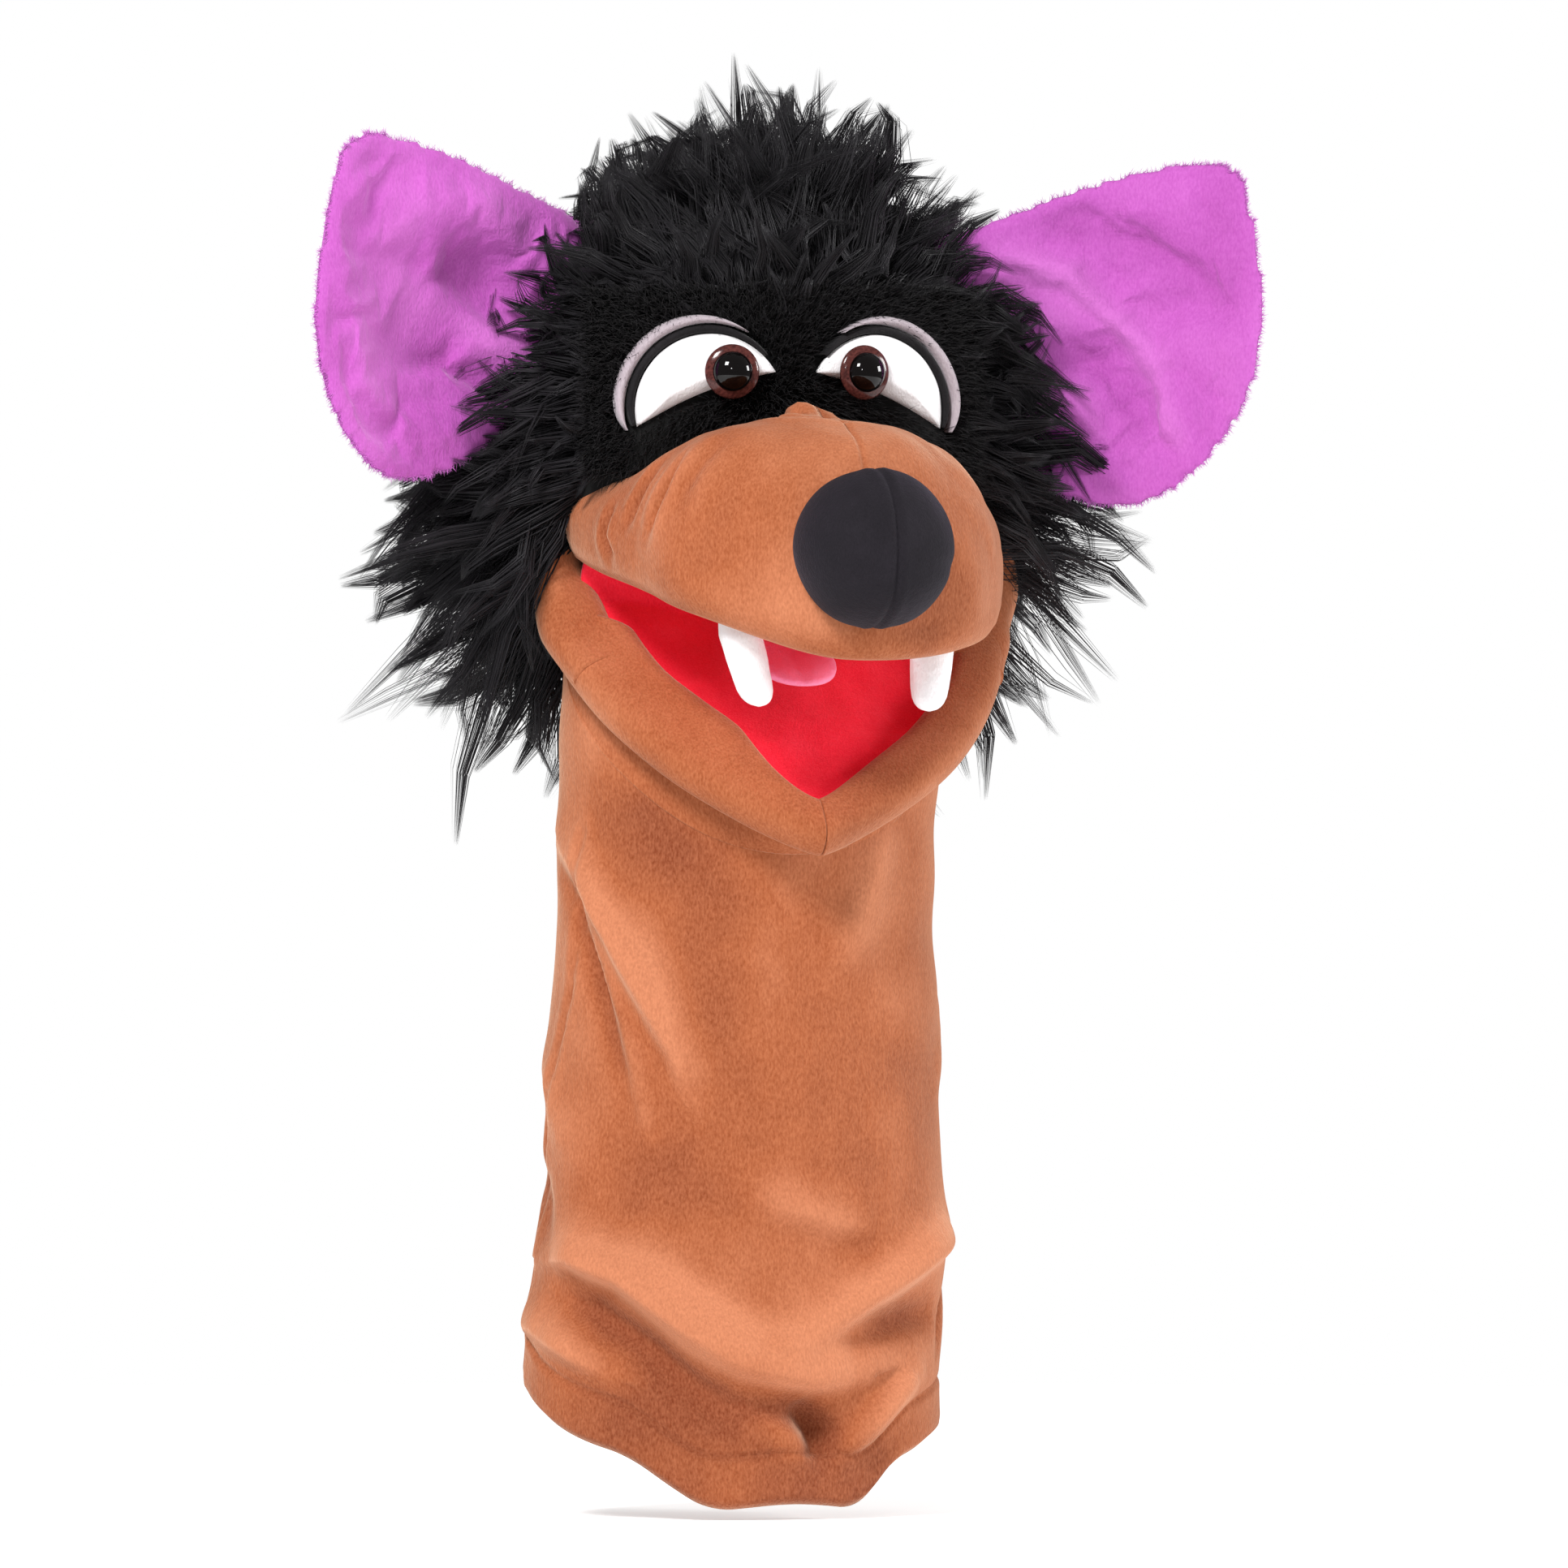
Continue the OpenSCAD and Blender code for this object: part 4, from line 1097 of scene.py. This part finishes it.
def make_ear(side, tag, material, fuzz_material):
    """Two plush layers with wadding between, cupped towards the front, with a seam round the edge."""
    loop = rounded_loop(EAR_TOP + EAR_OUTER + EAR_LOW, 200)
    loop[:, 0] += side * 0.06 * (loop[:, 1] - EAR_MID[1])
    share = np.concatenate([np.linspace(0.02, 0.9, 44), np.linspace(0.92, 1, 9)])
    flat = EAR_MID + (loop - EAR_MID)[None] * share[:, None, None]
    u, v = flat[..., 0], flat[..., 1]
    r = share[:, None]
    cup = -7.5 * (1 - r ** 2) * smooth01(u / 30) + ear_curl(u)
    level = np.stack([u, v, 0 * u], -1)
    relief = 1.6 * ripple(level, 30, 90 + side) + 0.8 * ripple(level, 13, 92 + side)
    for path, height, left, right in EAR_FOLDS[side]:
        relief += EAR_FOLD_GAIN * ridge(flat, path, height, left, right)
    relief *= 1 - r ** 6
    half = 3.6 * np.clip(1 - r ** 7, 0, 1) ** 0.5 + 0.35 - 0.25 * bell(r - 0.965, 0.01)
    front = ear_point(side, u, cup + relief + half, v)
    rear = ear_point(side, u, cup + relief * 0.5 - half, v)
    # Painted fold shade on both faces: darker in the creases, lighter on the ridges.
    lie = np.concatenate([relief, relief[::-1]], 0) * FOLD_SHADE_PER_MM
    piece = closed_form("ear_plush_" + tag, np.concatenate([front, rear[::-1]], 0), 0.05, lie=lie)
    edge = ear_point(side, loop[:, 0], ear_curl(loop[:, 0]), loop[:, 1])
    settle_cloth(piece, edge)
    finish_piece(piece, material, "ear_" + tag, "ear_front_" + tag, "ear_wadding_" + tag, "ear_back_" + tag, fill=0.3)
    draw = np.random.default_rng(95 + side)
    count = 2600
    pick = draw.uniform(0, len(loop), count)
    k = pick.astype(int)
    roots = edge[k] + (edge[(k + 1) % len(loop)] - edge[k]) * (pick - k)[:, None]
    roots = next(nearest(points_of(piece), roots)) + 0.3 * draw.normal(size=(count, 3))
    away = unit(np.stack([side * (loop[k, 0] - EAR_MID[0]), 0 * loop[k, 0], loop[k, 1] - EAR_MID[1]], -1))
    ways = unit(away + 0.55 * draw.normal(size=(count, 3)))
    fuzz = strands("ear_fuzz_" + tag, roots - ways * 0.6, ways, draw.uniform(1.2, 2.6, count), 0.13,
                   draw.normal(size=(count, 3)) * 0.3)
    finish_piece(fuzz, fuzz_material, "ear_" + tag, slot="purple_plush")


# ---------- fur ----------

def strands(name, roots, ways, lengths, thick, bends, guides=None, hold=0.0, rings=(0, 0.4, 0.75)):
    """Hairs as closed three-sided spikes. guides are the curves that clumps of hairs lean towards."""
    count = len(roots)
    side = unit(np.cross(ways, np.array([0.21, 0.33, 0.92])))
    other = np.cross(ways, side)
    levels = []
    for s in (*rings, 1.0):
        path = roots + ways * (lengths * s)[:, None] + bends * s * s
        if guides is not None:
            pull = hold * s ** 0.7
            path = path * (1 - pull) + guides(s) * pull
        levels.append(path)
    points = []
    for s, path in zip(rings, levels):
        radius = np.reshape(thick, (-1, 1)) * (1 - s) ** 0.6
        for angle in (0, 2 * math.pi / 3, 4 * math.pi / 3):
            points.append(path + side * math.cos(angle) * radius + other * math.sin(angle) * radius)
    points.append(levels[-1])
    each = len(points)
    points = np.stack(points, 1).reshape(-1, 3)
    first = np.arange(count)[:, None] * each
    tris = []
    for ring in range(len(rings) - 1):
        for k in range(3):
            a, b = ring * 3 + k, ring * 3 + (k + 1) % 3
            tris += [(a, b, b + 3), (a, b + 3, a + 3)]
    last = (len(rings) - 1) * 3
    tris += [(last + k, last + (k + 1) % 3, each - 1) for k in range(3)]
    tris.append((0, 2, 1))
    faces = (first[:, None] + np.array(tris)[None]).reshape(-1, 3)
    return make_object(name, points, faces)


def head_skin(azimuth, elevation, out=0.0):
    """The head under its fur, by direction from its middle: azimuth is from the face, towards +X."""
    way = np.stack([np.cos(elevation) * np.sin(azimuth), -np.cos(elevation) * np.cos(azimuth),
                    np.sin(elevation)], -1)
    n = 2.35
    reach = (np.abs(way / HEAD_R) ** n).sum(-1) ** (-1 / n)
    skin = HEAD_MID + way * (reach + out)[..., None]
    face = EYE_PLANE + 1.5 - out + 0.0035 * np.clip(np.abs(skin[..., 0]) - 30, 0, None) ** 2
    skin[..., 1] = np.maximum(skin[..., 1], face)
    return skin


def fur_floor(azimuth):
    """The lowest elevation that fur grows from, at each azimuth, in radians."""
    side = np.degrees(np.abs(azimuth))
    return np.radians(np.interp(side, [0, 45, 62, 80, 100, 140, 180], [14, 6, -14, -34, -48, -56, -56]))


def make_head(material):
    """The black cloth under the fur."""
    azimuth = np.radians(np.linspace(-180, 180, 120, endpoint=False))
    rows = []
    for t in np.linspace(0, 1, 60):
        low = np.radians(np.interp(np.degrees(np.abs(azimuth)), [0, 60, 80, 100, 180], [-26, -26, -30, -50, -58]))
        rows.append(head_skin(azimuth, low + (math.pi / 2 - low) * t, 1.0))
    piece = closed_form("head_cloth", np.array(rows), 0.3, 0)
    finish_piece(piece, material, "head", "head_stuffing", "brow_panel", fill=0.9, slot="short_black_fur")


def away_from_eyes(points):
    """How far points are outside the nearer eye's lid."""
    near = np.full(len(points), 1e9)
    for side in (-1, 1):
        pad = np.array([side * PAD_MID[0], EYE_PLANE + 4, PAD_MID[1]])
        near = np.minimum(near, np.linalg.norm(points - pad, axis=1) - PAD_R - 7)
    return near


def fur_field(roots):
    """Which way the fur lies at each root, and how long it is there."""
    out = unit((roots - HEAD_MID) / HEAD_R ** 2)
    face = np.array([0, -60, 335])
    spread = unit(roots - face)
    front = smooth01((10 - roots[:, 1]) / 50)[:, None]
    lie = unit(out * (1 - 0.45 * front) + spread * (0.25 + 0.75 * front))
    high = smooth01((roots[:, 2] - 360) / 40)[:, None]
    low = smooth01((318 - roots[:, 2]) / 40)[:, None]
    lie = unit(lie + np.array([0, 0.1, 0.12]) * high + np.array([0, 0.05, -0.45]) * low
               + np.array([0, 0.14, -0.08]))
    x, y, z = roots.T
    before_ear = smooth01((x - 34) / 16) * smooth01((14 - y) / 14) * smooth01((z - 312) / 14)
    comb = 0.75 * before_ear[:, None]
    lie = unit(lie * (1 - comb) + np.array([0.86, -0.34, -0.12]) * comb)
    long = np.interp(away_from_eyes(roots), [-4, 2, 12, 26], [8, 15, 36, 57])
    long = long * (1 + 0.16 * low[:, 0] + 0.12 * before_ear)
    long *= 1 - 0.34 * smooth01((roots[:, 1] - 20) / 40)
    return lie, long


def scatter(count, seed, azimuths, elevations):
    """Roots spread evenly over a part of the head: azimuths from the face and elevations, in degrees."""
    draw = np.random.default_rng(seed)
    azimuth = np.radians(draw.uniform(*azimuths, count))
    low, high = (math.sin(math.radians(e)) for e in elevations)
    elevation = np.arcsin(draw.uniform(low, high, count))
    keep = elevation > fur_floor(azimuth)
    roots = head_skin(azimuth[keep], elevation[keep])
    return roots[away_from_eyes(roots) >= -4], draw


FUR_TOP = CAD_BOX[1][2] / MM + 12
FUR_BACK = CAD_BOX[1][1] / MM + 8
LOCK_LONGEST = 63
LOCK_HOLD = 0.955
HAIRS_IN_LOCK = 32
HAIR_R = 0.34
# Patches of long fur: name, hairs, seed, azimuths, elevations and the CAD nodes they stand for
FUR_PATCHES = [
    ("fur_crown_left", 9000, 101, (-180, 0), (38, 90), "crown_fur"),
    ("fur_crown_right", 9000, 102, (0, 180), (38, 90)),
    ("fur_cheek_left", 9000, 103, (-112, -68), (-50, 38), "cheek_fur_left"),
    ("fur_cheek_right", 9000, 104, (68, 112), (-50, 38), "cheek_fur_right"),
    ("fur_temple_left", 8000, 109, (-68, -20), (-20, 38)),
    ("fur_temple_right", 8000, 110, (20, 68), (-20, 38)),
    ("fur_forehead", 6000, 105, (-20, 20), (10, 38)),
    ("fur_nape_left", 8000, 106, (-180, -112), (-56, 38), "nape_fur"),
    ("fur_nape_right", 8000, 107, (112, 180), (-56, 38)),
]


def make_fur(material, name, count, seed, azimuths, elevations, *nodes):
    """One patch of long fur, in wavy clumps that end in points."""
    roots, draw = scatter(count, seed, azimuths, elevations)
    lie, long = fur_field(roots)
    seeds = max(len(roots) // HAIRS_IN_LOCK, 12)
    pick = draw.choice(len(roots), seeds, replace=False)
    wild = draw.normal(size=(seeds, 3))
    g_root, g_long = roots[pick], np.minimum(long[pick] * draw.uniform(0.72, 1.18, seeds), LOCK_LONGEST)
    g_way = unit(lie[pick] + 0.30 * wild)
    g_bend = (draw.normal(size=(seeds, 3)) * 0.22 + np.array([0, 0, -0.10])) * g_long[:, None]
    g_wave = draw.normal(size=(seeds, 3)) * 0.09 * g_long[:, None]
    uneven = 20 * draw.uniform(0, 1, seeds) ** 1.3
    for _ in range(3):
        tip = g_root + g_way * g_long[:, None] + g_bend
        crown = FUR_TOP - uneven - 0.008 * (tip[:, 0] - 0.3 * tip[:, 1] - 6) ** 2
        beyond = np.maximum(tip[:, 2] - crown, tip[:, 1] - FUR_BACK)
        trim = np.clip(1 - beyond / np.maximum(g_long, 1), 0.3, 1)
        g_long, g_bend, g_wave = g_long * trim, g_bend * trim[:, None], g_wave * trim[:, None]
    _, near, _ = nearest(g_root, roots)
    offset = roots - g_root[near]

    def guides(s):
        path = g_root + g_way * (g_long * s)[:, None] + g_bend * s * s
        path = path + g_wave * math.sin(s * 2.2 * math.pi)
        return path[near] + offset * (1 - s) ** 1.2

    lengths = np.minimum(long * draw.uniform(0.75, 1.1, len(roots)), g_long[near] * 1.1)
    ways = unit(lie + 0.22 * draw.normal(size=roots.shape))
    thick = HAIR_R * draw.uniform(0.7, 1.25, len(roots))
    piece = strands(name, roots - ways * 0.8, ways, lengths, thick, g_bend[near], guides, LOCK_HOLD,
                    rings=(0, 0.33, 0.62, 0.84))
    finish_piece(piece, material, "head", *nodes)


def make_short_fur(material, name, count, seed):
    """Short dense fur between the eyes, under them and down to the snout."""
    draw = np.random.default_rng(seed)
    x = draw.uniform(-66, 66, count)
    z = draw.uniform(318, 378, count)
    y = EYE_PLANE + np.clip((np.abs(x) - EYE_X) * math.tan(EYE_TURN), 0, 99) + 1.5
    y += 0.0035 * np.clip(np.abs(x) - 40, 0, 99) ** 2 + 0.004 * np.clip(z - 360, 0, 99) ** 2
    roots = np.stack([x, y, z], -1)
    out, up = np.abs(x) - PAD_MID[0], z - PAD_MID[1]
    on_pad = (np.hypot(out, up) < PAD_R + 2) & (up > 2.4 - 0.41 * out)
    roots = roots[~on_pad]
    ways = unit(unit(roots - [0, -30, 338]) + [0, -0.75, 0] + 0.3 * draw.normal(size=roots.shape))
    lengths = draw.uniform(6.0, 11.0, len(roots))
    bends = draw.normal(size=roots.shape) * 1.2 + [0, 0, -1.5]
    finish_piece(strands(name, roots, ways, lengths, 0.3, bends), material, "head")


# ---------- the puppet ----------

def build():
    make_camera()
    make_studio()
    brown = plush("brown_plush", (0.16, 0.030, 0.008), (0.32, 0.083, 0.026), (0.54, 0.20, 0.098),
                  sheen=0.4, tint=(1, 0.72, 0.52))
    purple = plush("purple_plush", (0.34, 0.055, 0.31), (0.46, 0.09, 0.43), (0.56, 0.15, 0.52),
                   sheen=0.4, tint=(1, 0.6, 0.98))
    red = plush("red_velour", (0.72, 0.006, 0.022), (0.88, 0.014, 0.042), (0.98, 0.05, 0.09),
                pile=0.5, sheen=0.35, tint=(1, 0.45, 0.5), nap_and_fold_shade=14)
    pink = plush("pink_velour", (0.84, 0.20, 0.36), (0.93, 0.28, 0.46), (1.0, 0.36, 0.55),
                 pile=0.5, sheen=0.35, tint=(1, 0.6, 0.8), nap_and_fold_shade=12)
    white = plush("white_plush", (0.74, 0.71, 0.73), (0.83, 0.81, 0.82), (0.9, 0.89, 0.9),
                  pile=0.6, sheen=0.4, tint=(1, 1, 1), nap_and_fold_shade=12)
    grey = plush("grey_plush", (0.30, 0.24, 0.27), (0.40, 0.34, 0.37), (0.52, 0.46, 0.49),
                 pile=0.6, sheen=0.4, tint=(1, 0.95, 1), nap_and_fold_shade=10)
    nose_black = plush("black_velour", (0.006, 0.005, 0.007), (0.010, 0.008, 0.011), (0.018, 0.015, 0.02),
                       pile=0.45, sheen=0.06, tint=(0.8, 0.7, 0.9), nap_and_fold_shade=12)
    felt = plush("black_felt", (0.006, 0.005, 0.006), (0.010, 0.009, 0.010), (0.02, 0.018, 0.02),
                 pile=0.5, sheen=0.08, tint=(1, 1, 1), nap_and_fold_shade=8)
    under = plush("black_backing", (0.003, 0.003, 0.003), (0.005, 0.005, 0.005), (0.009, 0.009, 0.009),
                  pile=0.9, sheen=0.05, tint=(1, 1, 1), nap_and_fold_shade=20)
    fuzz, _ = new_material("purple_fuzz", (0.58, 0.16, 0.56), 0.8)
    fur = make_fur_material("long_black_fur", (0.020, 0.0185, 0.021), 0.34)
    short = make_fur_material("short_black_fur", (0.013, 0.012, 0.013), 0.5)
    iris = make_iris_material()
    pupil = make_plastic("eye_plastic", (0.002, 0.0012, 0.0012), 0.05, 0.0, 0.3)
    board = make_board_material()
    make_sleeve(brown)
    make_throat(brown)
    make_palate_board(board)
    make_lower_lip(brown)
    make_mouth_lining(red)
    make_tongue(pink)
    make_fang(-1, "fang_soft_left", "fang_left", 0.27, white)
    make_fang(1, "fang_soft_right", "fang_right", -0.03, white)
    make_snout(brown)
    make_nose(nose_black)
    make_cheeks(brown)
    make_eyes(white, felt, grey, iris, pupil)
    for side, tag in ((-1, "left"), (1, "right")):
        make_ear(side, tag, purple, fuzz)
    make_head(under)
    share = 1.0
    for name, count, *rest in FUR_PATCHES:
        make_fur(fur, name, int(count * share), *rest)
    make_short_fur(short, "fur_brow", int(15000 * share), 108)
    weave = make_weave_material()
    washer = make_plastic("washer_plastic", (0.75, 0.75, 0.75), 0.35, 0.2)
    for name, material in (("finger_pocket", weave), ("thumb_pocket", weave), ("lower_mouth_board", board),
                           ("eye_washers", washer)):
        mesh = frame["nodes"][name].data
        mesh.materials.clear()
        mesh.materials.append(material)


build()
bpy.context.view_layer.update()
